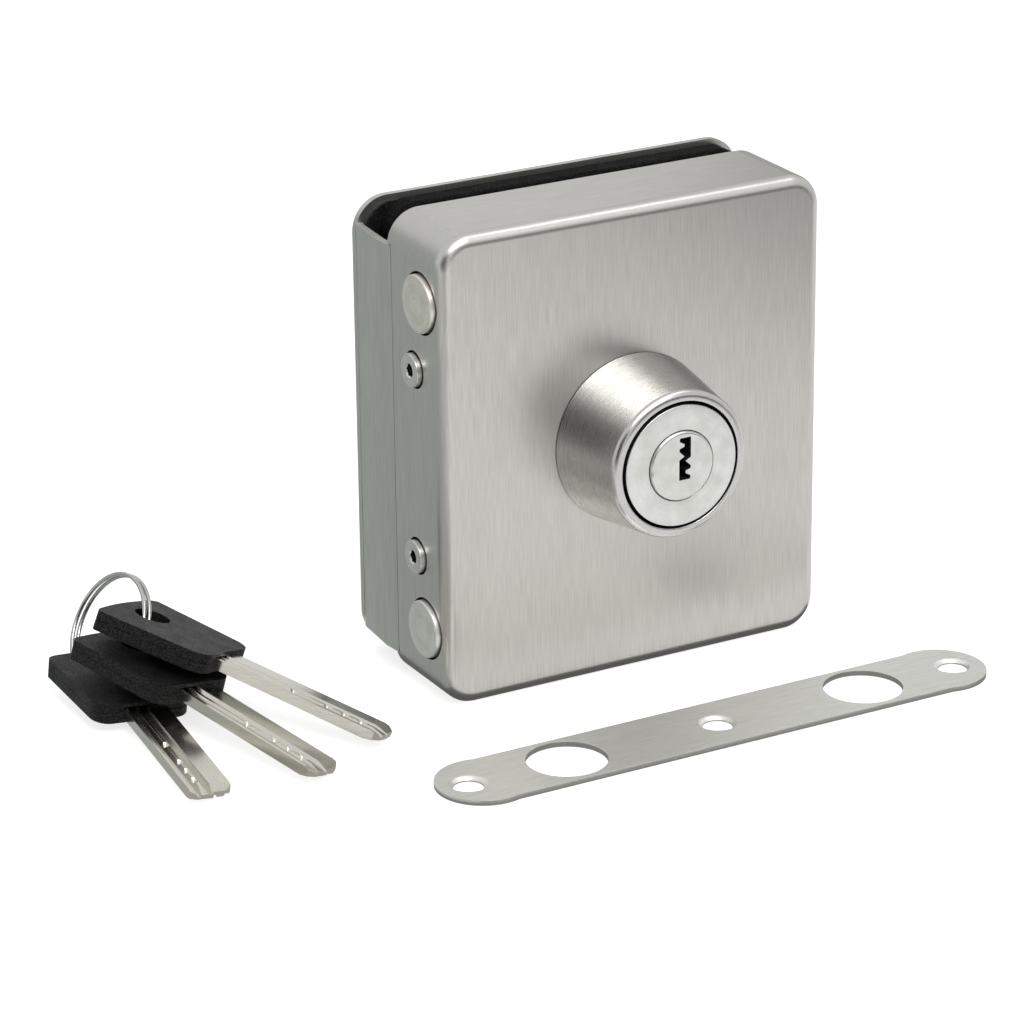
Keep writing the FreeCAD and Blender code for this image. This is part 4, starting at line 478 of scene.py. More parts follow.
# Drawn spring wire under nickel: shiny, with sharp narrow lights along the turns.
WIRE_STEEL = GrainySurface("steel_wire_nickel_plated", "cacac8", 0.2, metallic=1.0, dark="bebebc",
                           grain_mm=0.8, depth_mm=0.01, strength=0.1)
# Steel under bright zinc: bluish grey with a blurred shine.
ZINC_STEEL = GrainySurface("steel_zinc_plated", "b3b6ba", 0.38, metallic=1.0, dark="9da1a6",
                           grain_mm=1.2, depth_mm=0.02, strength=0.2)
# Aluminium as it leaves the die: dull grey with a fine pebbled skin, its 0.2 mm pebbles drawn coarser.
DIE_CAST = GrainySurface("aluminium_die_cast", "9c9d9f", 0.55, metallic=1.0, dark="88898b",
                         grain_mm=0.6, depth_mm=0.06, strength=0.4)
# Painted shade for the walls of narrow gaps, where the light doesn't reach: almost black, so that holes and
# seams read as dark lines.
SHADED_GAP = GrainySurface("painted_gap_shade", "1c1c1b", 0.7, dark="0c0c0b", depth_mm=0.01, strength=0.2)
# Moulded nylon of the sleeves: milky white, half matt.
NYLON = GrainySurface("nylon_moulded", "e4e2da", 0.5, dark="d8d6cd", grain_mm=1.0, depth_mm=0.02,
                      strength=0.2)
# Moulded rubber of the gasket: flat black with a low sheen.
GASKET_RUBBER = GrainySurface("rubber_moulded", "181818", 0.6, specular=0.22, dark="131313",
                              grain_mm=0.5, depth_mm=0.03, strength=0.3)
# Foamed rubber, cut open: matt black, its open cells of about 0.2 mm drawn at 0.4 mm to show.
FOAM_RUBBER = GrainySurface("rubber_foamed_rough", "131313", 0.85, specular=0.16, dark="070707",
                            depth_mm=0.16, strength=0.8)
# Nylon from a spark eroded mould: black with fine glints. Its 0.1 mm grain is drawn at 0.3 mm to show.
BOW_PLASTIC = GrainySurface("nylon_eroded_black", "101011", 0.48, specular=0.36, dark="050505",
                            grain_mm=0.3, depth_mm=0.1, strength=1.0, speckle=0.6)
# Milled nickel silver: warm, near mirror bright, with faint lines drawn coarser. The pattern runs along
# Y and a blade along X before it is laid down, so the lines turn by a right angle less than the blade.
BLADE_NICKEL = {pose.number: BrushedMetal(f"nickel_silver_milled_{pose.number}", "dedbd2", 0.17,
                                          dark="d2cfc5", grain=Axis.Y, run_mm=12.0, depth_mm=0.003,
                                          turn=pose.heading - 90.0)
                for pose in KEY_POSES}

CAD_FINISHES: dict[str, Finish] = {
    "front_cover": COVER_STEEL, "back_plate": PLATE_STEEL, "strike_plate": STRIKE_STEEL,
    "lock_case": DIE_CAST, "cylinder_bridge": ZINC_STEEL, "bridge_screws": ZINC_STEEL,
    "cylinder_collar": COLLAR_STEEL, "cylinder_housing": HEAD_NICKEL, "cylinder_nut": HEAD_NICKEL,
    "cylinder_plug": PLUG_NICKEL, "key_pins": RAW_BRASS, "driver_pins": RAW_BRASS,
    "pin_springs": WIRE_STEEL, "plug_clip": WIRE_STEEL, "tail_bar": ZINC_STEEL,
    "drive_pinion": ZINC_STEEL, "bolt_carriage": ZINC_STEEL, "carriage_screws": SCREW_STEEL,
    "carriage_guide_pins": SCREW_STEEL, "bolt_upper": UPPER_BOLT, "bolt_lower": LOWER_BOLT,
    "cover_screws": SCREW_STEEL, "clamp_screws": SCREW_STEEL, "clamp_sleeves": NYLON,
    "plate_nuts": ZINC_STEEL, "front_gasket": GASKET_RUBBER, "rear_pad": FOAM_RUBBER,
    "rear_liner": GASKET_RUBBER, "split_ring": WIRE_STEEL,
    "key_1_blade": BLADE_NICKEL[1], "key_2_blade": BLADE_NICKEL[2], "key_3_blade": BLADE_NICKEL[3],
    "key_1_bow": BOW_PLASTIC, "key_2_bow": BOW_PLASTIC, "key_3_bow": BOW_PLASTIC,
}


def dress_cad_nodes() -> None:
    """Give every CAD node the material of its own finish."""
    for name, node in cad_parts.items():
        finish = CAD_FINISHES[name]
        node.data.materials.clear()
        node.data.materials.append(finish.material())
        log.info("%s: %s", name, finish.name)


class Shaper:
    """A bmesh under work, in millimetres in the lock's own frame."""

    def __init__(self) -> None:
        """Start with nothing."""
        self.mesh = bmesh.new()

    def block(self, low: Point, high: Point) -> "Shaper":
        """Add a block between two corners.

        Args:
            low: Its lowest corner.
            high: Its highest corner.

        Returns:
            The shaper itself.
        """
        made = bmesh.ops.create_cube(self.mesh, size=1)["verts"]
        spread = Vector(high) - Vector(low)
        bmesh.ops.scale(self.mesh, verts=made, vec=spread)
        bmesh.ops.translate(self.mesh, verts=made, vec=(Vector(high) + Vector(low)) / 2)
        return self

    def rod(self, radius: float, start: Point, end: Point, sides: int,
            end_radius: float | None = None) -> "Shaper":
        """Add a closed round or many sided rod between two points.

        Args:
            radius: Radius at the start.
            start: Middle of its first end.
            end: Middle of its last end.
            sides: Faces round it.
            end_radius: Radius at the end where it tapers.

        Returns:
            The shaper itself.
        """
        way = Vector(end) - Vector(start)
        turn = Vector((0, 0, 1)).rotation_difference(way).to_matrix().to_4x4()
        place = Matrix.Translation((Vector(start) + Vector(end)) / 2) @ turn
        bmesh.ops.create_cone(self.mesh, cap_ends=True, segments=sides, radius1=radius,
                              radius2=radius if end_radius is None else end_radius,
                              depth=way.length, matrix=place)
        return self

    def lathe(self, profile: Profile, axis: Axis, centre: Point, steps: int) -> "Shaper":
        """Spin a closed profile about an axis.

        Args:
            profile: Points of distance from the axis and place along it.
            axis: The axis it turns about.
            centre: A point on that axis at place nought.
            steps: Faces in one turn.

        Returns:
            The shaper itself.
        """
        along = Vector(axis.value)
        aside = Vector((0, 0, 1)) if axis is not Axis.Z else Vector((1, 0, 0))
        points = [self.mesh.verts.new(Vector(centre) + aside * out + along * up) for out, up in profile]
        edges = [self.mesh.edges.new((points[i], points[(i + 1) % len(points)]))
                 for i in range(len(points))]
        bmesh.ops.spin(self.mesh, geom=points + edges, cent=centre, axis=along, angle=math.tau,
                       steps=steps, use_merge=True)
        bmesh.ops.remove_doubles(self.mesh, verts=self.mesh.verts, dist=WELD)
        bmesh.ops.recalc_face_normals(self.mesh, faces=self.mesh.faces)
        return self

    def face_outward(self, middle: Point) -> "Shaper":
        """Turn the faces of an open shell outwards.

        Args:
            middle: A point inside the shell.

        Returns:
            The shaper itself.
        """
        bmesh.ops.recalc_face_normals(self.mesh, faces=self.mesh.faces)
        first = self.mesh.faces[0]
        if first.normal.dot(first.calc_center_median() - Vector(middle)) < 0:
            bmesh.ops.reverse_faces(self.mesh, faces=self.mesh.faces)
        return self

    def round_edges(self, test: Callable[[Edge], bool], width: float, segments: int) -> "Shaper":
        """Round the edges that pass a test.

        Args:
            test: Tells of an edge whether it is rounded.
            width: How far the rounding reaches.
            segments: Faces across it.

        Returns:
            The shaper itself.
        """
        chosen = [edge for edge in self.mesh.edges if test(edge)]
        bmesh.ops.bevel(self.mesh, geom=chosen, offset=width, segments=segments, profile=0.5,
                        affect="EDGES", material=-1, clamp_overlap=True)
        return self

    def round_sharp(self, width: float, segments: int, degrees: float) -> "Shaper":
        """Round every edge that is sharper than an angle.

        Args:
            width: How far the rounding reaches.
            segments: Faces across it.
            degrees: Least angle between the two faces.

        Returns:
            The shaper itself.
        """
        limit = math.radians(degrees)
        return self.round_edges(lambda edge: edge.calc_face_angle(0) > limit, width, segments)

    def copy_node(self, name: str, merge: float = 2e-3, flatten: float = 0.5) -> "Shaper":
        """Take the shape of a CAD node, merged, with flat faces whole again.

        Args:
            name: The CAD node.
            merge: Distance in millimetres under which its corners become one.
            flatten: Angle in degrees under which its faces become one.

        Returns:
            The shaper itself.
        """
        self.mesh.from_mesh(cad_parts[name].data)
        bmesh.ops.scale(self.mesh, verts=self.mesh.verts, vec=(1 / MM, 1 / MM, 1 / MM))
        bmesh.ops.remove_doubles(self.mesh, verts=self.mesh.verts, dist=merge)
        bmesh.ops.dissolve_limit(self.mesh, angle_limit=math.radians(flatten), verts=self.mesh.verts,
                                 edges=self.mesh.edges)
        return self

    def as_object(self, name: str) -> bpy.types.Object:
        """Put the shape into a new object.

        Args:
            name: The object's name.

        Returns:
            The object, linked to the scene.
        """
        data = bpy.data.meshes.new(name)
        self.mesh.to_mesh(data)
        made = bpy.data.objects.new(name, data)
        bpy.context.scene.collection.objects.link(made)
        return made

    def cut(self, tool: "Shaper") -> "Shaper":
        """Take another shape out of this one.

        Args:
            tool: The shape to take out; it is used up.

        Returns:
            The shaper itself.
        """
        base, other = self.as_object("cut_base"), tool.as_object("cut_tool")
        step = base.modifiers.new("cut", "BOOLEAN")
        step.operation, step.solver, step.object = "DIFFERENCE", "EXACT", other
        graph = bpy.context.evaluated_depsgraph_get()
        result = bpy.data.meshes.new_from_object(base.evaluated_get(graph))
        self.mesh.clear()
        self.mesh.from_mesh(result)
        for item in (base, other):
            bpy.data.objects.remove(item)
        bpy.data.meshes.remove(result)
        tool.mesh.free()
        return self

    def take_in(self, other: "Shaper") -> "Shaper":
        """Add another shape to this one.

        Args:
            other: The shape to add; it is used up.

        Returns:
            The shaper itself.
        """
        part = bpy.data.meshes.new("part")
        other.mesh.to_mesh(part)
        self.mesh.from_mesh(part)
        other.mesh.free()
        bpy.data.meshes.remove(part)
        return self

    def move(self, place: Matrix) -> "Shaper":
        """Turn and move the whole shape.

        Args:
            place: The placement, in millimetres.

        Returns:
            The shaper itself.
        """
        bmesh.ops.transform(self.mesh, matrix=place, verts=self.mesh.verts)
        return self

    def darken(self, test: Callable[[Face], bool]) -> "Shaper":
        """Give the faces that pass a test the second material, painted shade for the walls of narrow gaps.

        Args:
            test: Tells of a face whether it is in a gap.

        Returns:
            The shaper itself.
        """
        for face in self.mesh.faces:
            if test(face):
                face.material_index = 1
        return self

    def finish(self, name: str, finish: Finish, body: str, nodes: tuple[str, ...], slot: str,
               smooth: float = 32) -> bpy.types.Object:
        """Turn the shape into a finished piece of the lock.

        Args:
            name: The piece's name.
            finish: What it is made of.
            body: The CAD body that it rides on.
            nodes: CAD nodes that it stands for.
            slot: A material slot's name; not used.
            smooth: Angle in degrees under which faces shade as one.

        Returns:
            The piece.
        """
        bmesh.ops.scale(self.mesh, verts=self.mesh.verts, vec=(MM, MM, MM))
        for face in self.mesh.faces:
            face.smooth = True
        piece = self.as_object(name)
        self.mesh.free()
        piece.data.set_sharp_from_angle(angle=math.radians(smooth))
        piece.data.materials.append(finish.material())
        # Faces marked by darken get the second material, the painted gap shade.
        if any(face.material_index for face in piece.data.polygons):
            piece.data.materials.append(SHADED_GAP.material())
        weighted = piece.modifiers.new("even_shading", "WEIGHTED_NORMAL")
        weighted.keep_sharp = True
        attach(piece, body)
        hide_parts(*nodes)
        log.info("%s: %d faces", name, len(piece.data.polygons))
        return piece


@dataclass
class Cover:
    """Drawn stainless cover with its windows, and the screws in its side.

    Painted shade darkens a hole's wall within hole_shade of its edge, and a screw's socket within shade_reach
    of its axis, on its walls and from shade_deep on.
    """

    width: float = 88.6
    height: float = 100.0
    depth: float = 22.0
    wall: float = 1.2
    corner: float = 7.0
    corner_steps: int = 12
    front_round: float = 2.6
    front_steps: int = 6
    bolt_hole: float = 6.5
    window: float = 12.6
    window_start: float = 2.0
    window_sides: int = 72
    notch_deep: float = 1.5
    notch_z: tuple[float, float] = (5.25, 93.45)
    hole_shade: float = 0.1
    screw_y: float = 0.4
    screw_z: tuple[float, float] = (70.0, 30.0)
    screw_hole: float = 3.95
    screw_hole_sides: int = 48
    screw_face: float = -45.5
    screw_radius: float = 3.5
    screw_under: float = 2.8
    screw_shank: float = 2.0
    screw_length: float = 7.8
    screw_sides: int = 64
    screw_rim: float = 0.25
    screw_rim_steps: int = 4
    socket_across: float = 2.5
    socket_deep: float = 1.6
    seat_outer: float = 1.9
    seat_inner: float = 1.3
    seat_deep: float = 0.3
    seat_sides: int = 48
    shade_reach: float = 1.6
    shade_deep: float = 1.0

    def shell(self) -> None:
        """Round the box, open its back, give it its wall and cut the windows."""
        half, front, rear = self.width / 2, -self.depth / 2, self.depth / 2
        shape = Shaper().block((-half, front, 0), (half, rear, self.height))
        shape.round_edges(lambda edge: abs(edge.verts[0].co.y - edge.verts[1].co.y) > TOUCH,
                          self.corner, self.corner_steps)
        shape.round_edges(lambda edge: lies_on(edge, 1, front), self.front_round, self.front_steps)
        back = [face for face in shape.mesh.faces if lies_on(face, 1, rear)]
        bmesh.ops.delete(shape.mesh, geom=back, context="FACES")
        shape.face_outward((0, 0, self.height / 2))
        bmesh.ops.solidify(shape.mesh, geom=shape.mesh.faces[:], thickness=self.wall)
        outside = -half - PAST
        for z in BOLT_Z:
            shape.cut(Shaper().rod(self.bolt_hole, (outside, BOLT_Y, z), (-half + 2 * PAST, BOLT_Y, z),
                                   self.window_sides))
        for z in self.screw_z:
            shape.cut(Shaper().rod(self.screw_hole, (outside, self.screw_y, z),
                                   (-half + PAST, self.screw_y, z), self.screw_hole_sides))
        shape.cut(Shaper().rod(self.window, (CYLINDER[0], front - self.window_start, CYLINDER[2]),
                               (CYLINDER[0], front + PAST, CYLINDER[2]), self.window_sides))
        low, high = self.notch_z
        shape.cut(Shaper().block((outside, rear - self.notch_deep, low), (-half + PAST, rear + PAST, high)))
        # Painted shade on the walls of the holes in the left side.
        shape.darken(self.in_hole)
        shape.finish("cover_shell", COVER_STEEL, "lock", ("front_cover",), "brushed_cover")

    def in_hole(self, face: Face) -> bool:
        """Tell whether a face is the wall of a hole in the cover's left side.

        Args:
            face: The face.

        Returns:
            Whether it is one.
        """
        holes = [(self.bolt_hole, BOLT_Y, z) for z in BOLT_Z]
        holes += [(self.screw_hole, self.screw_y, z) for z in self.screw_z]
        place = face.calc_center_median()
        return (place.x < self.wall + self.hole_shade - self.width / 2 and abs(face.normal.x) < WALL
                and any(math.hypot(place.y - y, place.z - z) < radius + self.hole_shade
                        for radius, y, z in holes))

    def screw(self, z: float) -> Shaper:
        """Turn one low head with a rounded rim, and sink its six sided socket.

        Args:
            z: Height of its axis.

        Returns:
            The screw.
        """
        start, y = self.screw_face, self.screw_y
        shape = Shaper().lathe([
            (0, 0), (self.screw_radius, 0), (self.screw_radius, self.screw_under),
            (self.screw_shank, self.screw_under), (self.screw_shank, self.screw_length),
            (0, self.screw_length),
        ], Axis.X, (start, y, z), self.screw_sides)
        shape.round_edges(lambda edge: lies_on(edge, 0, start) and is_sharp(edge),
                          self.screw_rim, self.screw_rim_steps)
        shape.cut(Shaper().rod(self.socket_across / math.sqrt(3), (start - PAST, y, z),
                               (start + self.socket_deep, y, z), 6))
        shape.cut(Shaper().rod(self.seat_outer, (start - self.seat_deep, y, z),
                               (start + self.seat_deep, y, z), self.seat_sides, end_radius=self.seat_inner))
        # Painted shade on the socket's walls and floor.
        return shape.darken(lambda face: self.in_socket(face, z))

    def in_socket(self, face: Face, z: float) -> bool:
        """Tell whether a face is a wall or the floor of a screw's socket.

        Args:
            face: The face.
            z: Height of the screw's axis.

        Returns:
            Whether it is one.
        """
        place = face.calc_center_median()
        return (math.hypot(place.y - self.screw_y, place.z - z) < self.shade_reach
                and (abs(face.normal.x) < WALL or place.x > self.screw_face + self.shade_deep))

    def screws(self) -> None:
        """Put both side screws into one piece."""
        both = Shaper()
        for z in self.screw_z:
            both.take_in(self.screw(z))
        both.finish("side_screws", SCREW_STEEL, "lock", ("cover_screws",), "screw_steel")

    def build(self) -> None:
        """Make the cover and its screws."""
        self.shell()
        self.screws()


@dataclass
class CylinderFront:
    """Turned collar, cylinder head and plug.

    The gaps get painted shade up to bore_shade past a bore's edge, from foot_shade in front of the cover's
    face, and from head_shade or plug_shade behind the head's face.
    """

    cover_face: float = -11.0
    step_deep: float = 2.6
    collar_sides: int = 144
    collar_base: float = 18.0
    collar_front: float = 15.4
    collar_bore: float = 13.35
    collar_lip: float = 12.25
    collar_face: float = -29.8
    foot_in: float = 0.25
    foot_up: float = 0.18
    collar_rim: float = 1.35
    collar_rim_steps: int = 8
    collar_rim_inside: float = 0.5
    collar_rim_inside_steps: int = 4
    head_face: float = -30.0
    head_end: float = 1.0
    head_radius: float = 12.75
    head_neck: float = 12.2
    head_bore: float = 7.45
    head_sides: int = 120
    head_rim: float = 0.18
    head_rim_inside: float = 0.14
    head_rim_steps: int = 3
    plug_ease: float = 0.08
    plug_sharp: float = 50.0
    keyway_reach: float = 6.6
    bore_shade: float = 0.02
    foot_shade: float = 0.2
    head_shade: float = 0.2
    plug_shade: float = 0.05

    def out(self, place: Vector) -> float:
        """Distance of a point from the cylinder's axis, in millimetres."""
        return math.hypot(place.x - CYLINDER[0], place.z - CYLINDER[2])

    def on_rim(self, edge: Edge, radius: float, place: float, near: float = 0.1) -> bool:
        """Tell whether an edge starts on a turned rim and lies in the plane of its face.

        Args:
            edge: The edge.
            radius: The rim's radius.
            place: Where the face lies along the axis.
            near: How close to the rim the edge starts.

        Returns:
            Whether it does.
        """
        return lies_on(edge, 1, place) and abs(self.out(edge.verts[0].co) - radius) < near

    def in_bore(self, face: Face, radius: float) -> bool:
        """Tell whether a face is a wall within a bore.

        Args:
            face: The face.
            radius: How far from the axis the walls reach.

        Returns:
            Whether it is one.
        """
        return self.out(face.calc_center_median()) < radius and abs(face.normal.y) < WALL

    def collar(self) -> None:
        """Tapered collar with its rounded rim, painted shade in its bore and a painted dark line of shade
        under its foot.
        """
        step = self.cover_face - self.step_deep
        shape = Shaper().lathe([
            (self.collar_bore, self.collar_face), (self.collar_front, self.collar_face),
            (self.collar_base, self.cover_face - self.foot_up),
            (self.collar_base - self.foot_in, self.cover_face),
            (self.collar_lip, self.cover_face), (self.collar_lip, step), (self.collar_bore, step),
        ], Axis.Y, CYLINDER, self.collar_sides)
        shape.round_edges(lambda edge: self.on_rim(edge, self.collar_front, self.collar_face),
                          self.collar_rim, self.collar_rim_steps)
        shape.round_edges(lambda edge: self.on_rim(edge, self.collar_bore, self.collar_face),
                          self.collar_rim_inside, self.collar_rim_inside_steps)
        # Painted shade in the bore and on the foot where it meets the cover.
        foot = self.cover_face - self.foot_shade
        shape.darken(lambda face: self.in_bore(face, self.collar_bore + self.bore_shade)
                     or (face.calc_center_median().y > foot and face.normal.y > WALL))
        shape.finish("tapered_collar", COLLAR_STEEL, "lock", ("cylinder_collar",), "turned_collar")

    def head(self) -> None:
        """Cylinder head with its bevelled face."""
        step = self.cover_face - self.step_deep
        shape = Shaper().lathe([
            (self.head_bore, self.head_face), (self.head_radius, self.head_face),
            (self.head_radius, step), (self.head_neck, step),
            (self.head_neck, self.head_end), (self.head_bore, self.head_end),
        ], Axis.Y, CYLINDER, self.head_sides)
        shape.round_edges(lambda edge: self.on_rim(edge, self.head_radius, self.head_face),
                          self.head_rim, self.head_rim_steps)
        shape.round_edges(lambda edge: self.on_rim(edge, self.head_bore, self.head_face),
                          self.head_rim_inside, self.head_rim_steps)
        # Painted shade on the wall behind the face and in the bore.
        behind = self.head_face + self.head_shade
        shape.darken(lambda face: face.calc_center_median().y > behind
                     or self.in_bore(face, self.head_bore + self.bore_shade))
        shape.finish("cylinder_head", HEAD_NICKEL, "lock", ("cylinder_housing",), "nickel_brass")

    def plug(self) -> None:
        """Plug with the waved keyway, its edges eased."""
        shape = Shaper().copy_node("cylinder_plug")
        shape.round_sharp(self.plug_ease, EASE_STEPS, self.plug_sharp)
        # Painted shade on the side behind the face and in the keyway.
        behind = self.head_face + self.plug_shade
        shape.darken(lambda face: face.calc_center_median().y > behind
                     or self.in_bore(face, self.keyway_reach))
        shape.finish("cylinder_core", PLUG_NICKEL, "plug", ("cylinder_plug",), "nickel_brass")

    def build(self) -> None:
        """Make collar, head and plug."""
        self.collar()
        self.head()
        self.plug()


@dataclass
class Bolts:
    """The two round bolts."""

    radius: float = 6.0
    tip: float = -45.4
    length: float = 42.4
    sides: int = 96
    tip_round: float = 0.45
    tip_steps: int = 4
    flat_start: float = -10.5
    flat_rise: float = 5.5
    flat_clear: float = 8.0

    def bolt(self, name: str, z: float, finish: Finish) -> None:
        """Turn one bolt with an eased tip and the flat for the carriage.

        Args:
            name: CAD node that it stands for.
            z: Height of its axis.
            finish: Its turned steel.
        """
        end = self.tip + self.length
        shape = Shaper().lathe([(0, self.tip), (self.radius, self.tip), (self.radius, end), (0, end)],
                               Axis.X, (0, BOLT_Y, z), self.sides)
        shape.round_edges(lambda edge: lies_on(edge, 0, self.tip) and is_sharp(edge),
                          self.tip_round, self.tip_steps)
        shape.cut(Shaper().block((self.flat_start, BOLT_Y + self.flat_rise, z - self.flat_clear),
                                 (end + PAST, BOLT_Y + self.flat_clear, z + self.flat_clear)))
        shape.finish(f"{name}_turned", finish, "bolts", (name,), "bolt_steel")

    def build(self) -> None:
        """Make both bolts."""
        self.bolt("bolt_upper", BOLT_Z[0], UPPER_BOLT)
        self.bolt("bolt_lower", BOLT_Z[1], LOWER_BOLT)


@dataclass
class GlassClamp:
    """Back plate with its folded side, and the foam pad in front of it."""

    plate_ease: float = 0.3
    plate_steps: int = 3
    plate_sharp: float = 40.0
    foam_smooth: float = 50.0

    def build(self) -> None:
        """Ease the plate's edges and dress the foam."""
        plate = Shaper().copy_node("back_plate")
        plate.round_sharp(self.plate_ease, self.plate_steps, self.plate_sharp)
        plate.finish("pressed_back_plate", PLATE_STEEL, "lock", ("back_plate",), "brushed_plate")
        foam = Shaper().copy_node("rear_pad")
        foam.finish("foam_pad", FOAM_RUBBER, "lock", ("rear_pad",), "foam_rubber", self.foam_smooth)


@dataclass
class StrikePlate:
    """Flat strike plate with stamped edges."""

    edge_ease: float = 0.16
    edge_sharp: float = 40.0

    def build(self) -> None:
        """Ease the stamped edges of the strike."""
        shape = Shaper().copy_node("strike_plate")
        shape.round_sharp(self.edge_ease, EASE_STEPS, self.edge_sharp)
        shape.finish("ground_strike_plate", STRIKE_STEEL, "lock", ("strike_plate",), "strike_steel")


@dataclass
class KeySet:
    """Three dimple keys on a split ring."""

    blade_length: float = 38.6
    blade_ease: float = 0.07
    blade_sharp: float = 35.0
    bow_length: float = 26.3
    bow_width: float = 22.4
    bow_flare: float = 2.4
    bow_thick: float = 4.1
    bow_cells: int = 12
    flat_degrees: float = 1.0
    dip: float = 0.4
    crown: float = 1.0
    corner: float = 4.0
    corner_steps: int = 7
    edge_round: float = 0.55
    edge_steps: int = 4
    seam_half: float = 0.12
    seam_sink: Point = (0.991, 0.989, 1.0)
    slot_half_width: float = 4.4
    slot_half_height: float = 1.25
    slot_deep: float = 5.5
    hole_back: float = 19.22
    hole_side: float = -0.7
    hole_radius: float = 3.8
    hole_drill: float = 5.0
    hole_sides: int = 56
    ring_radius: float = 11.4
    ring_middle: Point = (-95.75, 39.08, 11.1)
    ring_swing: float = 4.39
    ring_lean: float = -30.41
    ring_steps: int = 150
    wire: float = 0.9
    wire_sides: int = 16
    pitch: float = 1.36
    turns: float = 1.95
    ring_smooth: float = 60.0

    def outline(self) -> Shaper:
        """Lay the bow's flat outline: hollow front, crowned back, flared sides and round corners.

        Returns:
            The outline as one flat face.
        """
        half, front = self.bow_width / 2, self.blade_length
        back = front + self.bow_length
        shape = Shaper()
        bmesh.ops.create_grid(shape.mesh, x_segments=self.bow_cells, y_segments=self.bow_cells, size=0.5)
        bmesh.ops.scale(shape.mesh, verts=shape.mesh.verts, vec=(self.bow_length, self.bow_width, 1))
        bmesh.ops.translate(shape.mesh, verts=shape.mesh.verts, vec=((front + back) / 2, 0, 0))
        for vert in shape.mesh.verts:
            bend = 1 - (vert.co.y / half) ** 2
            vert.co.y *= 1 + self.bow_flare / self.bow_width * ((vert.co.x - front) / self.bow_length * 2 - 1)
            if abs(vert.co.x - front) < TOUCH:
                vert.co.x += self.dip * bend
            elif abs(vert.co.x - back) < TOUCH:
                vert.co.x -= self.crown * (1 - bend)
        inner = [edge for edge in shape.mesh.edges if not edge.is_boundary]
        bmesh.ops.dissolve_limit(shape.mesh, angle_limit=math.radians(self.flat_degrees),
                                 verts=shape.mesh.verts, edges=inner)
        narrow = half - self.bow_flare / 2 - TOUCH
        corners = [vert for vert in shape.mesh.verts if abs(vert.co.y) > narrow
                   and (abs(vert.co.x - front) < TOUCH or abs(vert.co.x - back + self.crown) < TOUCH)]
        bmesh.ops.bevel(shape.mesh, geom=corners, offset=self.corner, segments=self.corner_steps,
                        profile=0.5, affect="VERTICES", material=-1)
        return shape

    def thicken(self, shape: Shaper) -> None:
        """Give the outline its thickness, with a sunk parting line and round edges.

        Args:
            shape: The flat outline.
        """
        grown = bmesh.ops.extrude_face_region(shape.mesh, geom=shape.mesh.faces[:])["geom"]
        raised = [item for item in grown if isinstance(item, bmesh.types.BMVert)]
        bmesh.ops.translate(shape.mesh, verts=raised, vec=(0, 0, self.bow_thick))
        bmesh.ops.translate(shape.mesh, verts=shape.mesh.verts, vec=(0, 0, -self.bow_thick / 2))
        bmesh.ops.recalc_face_normals(shape.mesh, faces=shape.mesh.faces)
        for height in (-self.seam_half, 0.0, self.seam_half):
            everything = shape.mesh.verts[:] + shape.mesh.edges[:] + shape.mesh.faces[:]
            bmesh.ops.bisect_plane(shape.mesh, geom=everything, plane_co=(0, 0, height), plane_no=(0, 0, 1))
        middle = Matrix.Translation((-self.blade_length - self.bow_length / 2, 0, 0))
        seam = [vert for vert in shape.mesh.verts if abs(vert.co.z) < TOUCH]
        bmesh.ops.scale(shape.mesh, verts=seam, vec=self.seam_sink, space=middle)
        limit = self.bow_thick / 2 - TOUCH
        shape.round_edges(lambda edge: all(abs(vert.co.z) > limit for vert in edge.verts) and is_sharp(edge),
                          self.edge_round, self.edge_steps)

    def bow(self, pose: KeyPose) -> None:
        """Mould one bow, with its ring hole and the slot that holds the blade.

        Args:
            pose: Where the key lies.
        """
        front = self.blade_length
        shape = self.outline()
        self.thicken(shape)
        shape.cut(Shaper().rod(self.hole_radius, (front + self.hole_back, self.hole_side, -self.hole_drill),
                               (front + self.hole_back, self.hole_side, self.hole_drill),
                               self.hole_sides))
        shape.cut(Shaper().block((front - PAST, -self.slot_half_width, -self.slot_half_height),
                                 (front + self.slot_deep, self.slot_half_width, self.slot_half_height)))
        shape.move(pose.place(front + self.hole_back, self.hole_side))
        name = f"key_{pose.number}"
        shape.finish(f"{name}_moulded_bow", BOW_PLASTIC, name, (f"{name}_bow",), "bow_plastic")

    def blade(self, pose: KeyPose) -> None:
        """Ease the milled edges of one blade.

        Args:
            pose: Where the key lies.
        """
        name = f"key_{pose.number}"
        shape = Shaper().copy_node(f"{name}_blade")
        shape.round_sharp(self.blade_ease, EASE_STEPS, self.blade_sharp)
        shape.finish(f"{name}_milled_blade", BLADE_NICKEL[pose.number], name, (f"{name}_blade",),
                     "nickel_silver")

    def ring(self) -> None:
        """Wind the split ring from round wire."""
        shape = Shaper()
        rise = self.pitch * self.turns
        place = Matrix.Translation((self.ring_radius, 0, -rise / 2)) @ Matrix.Rotation(math.pi / 2, 4, "X")
        bmesh.ops.create_circle(shape.mesh, segments=self.wire_sides, radius=self.wire / 2, cap_ends=True,
                                matrix=place)
        section = shape.mesh.verts[:] + shape.mesh.edges[:] + shape.mesh.faces[:]
        bmesh.ops.spin(shape.mesh, geom=section, cent=(0, 0, 0), axis=(0, 0, 1),
                       dvec=(0, 0, rise / self.ring_steps), angle=math.tau * self.turns,
                       steps=self.ring_steps)
        bmesh.ops.recalc_face_normals(shape.mesh, faces=shape.mesh.faces)
        swing, lean = math.radians(self.ring_swing), math.radians(self.ring_lean)
        axis = Vector((math.cos(lean) * math.cos(swing), math.cos(lean) * math.sin(swing), math.sin(lean)))
        turn = Vector((0, 0, 1)).rotation_difference(axis).to_matrix().to_4x4()
        shape.move(Matrix.Translation(self.ring_middle) @ turn)
        shape.finish("wound_split_ring", WIRE_STEEL, "lock", ("split_ring",), "spring_wire", self.ring_smooth)

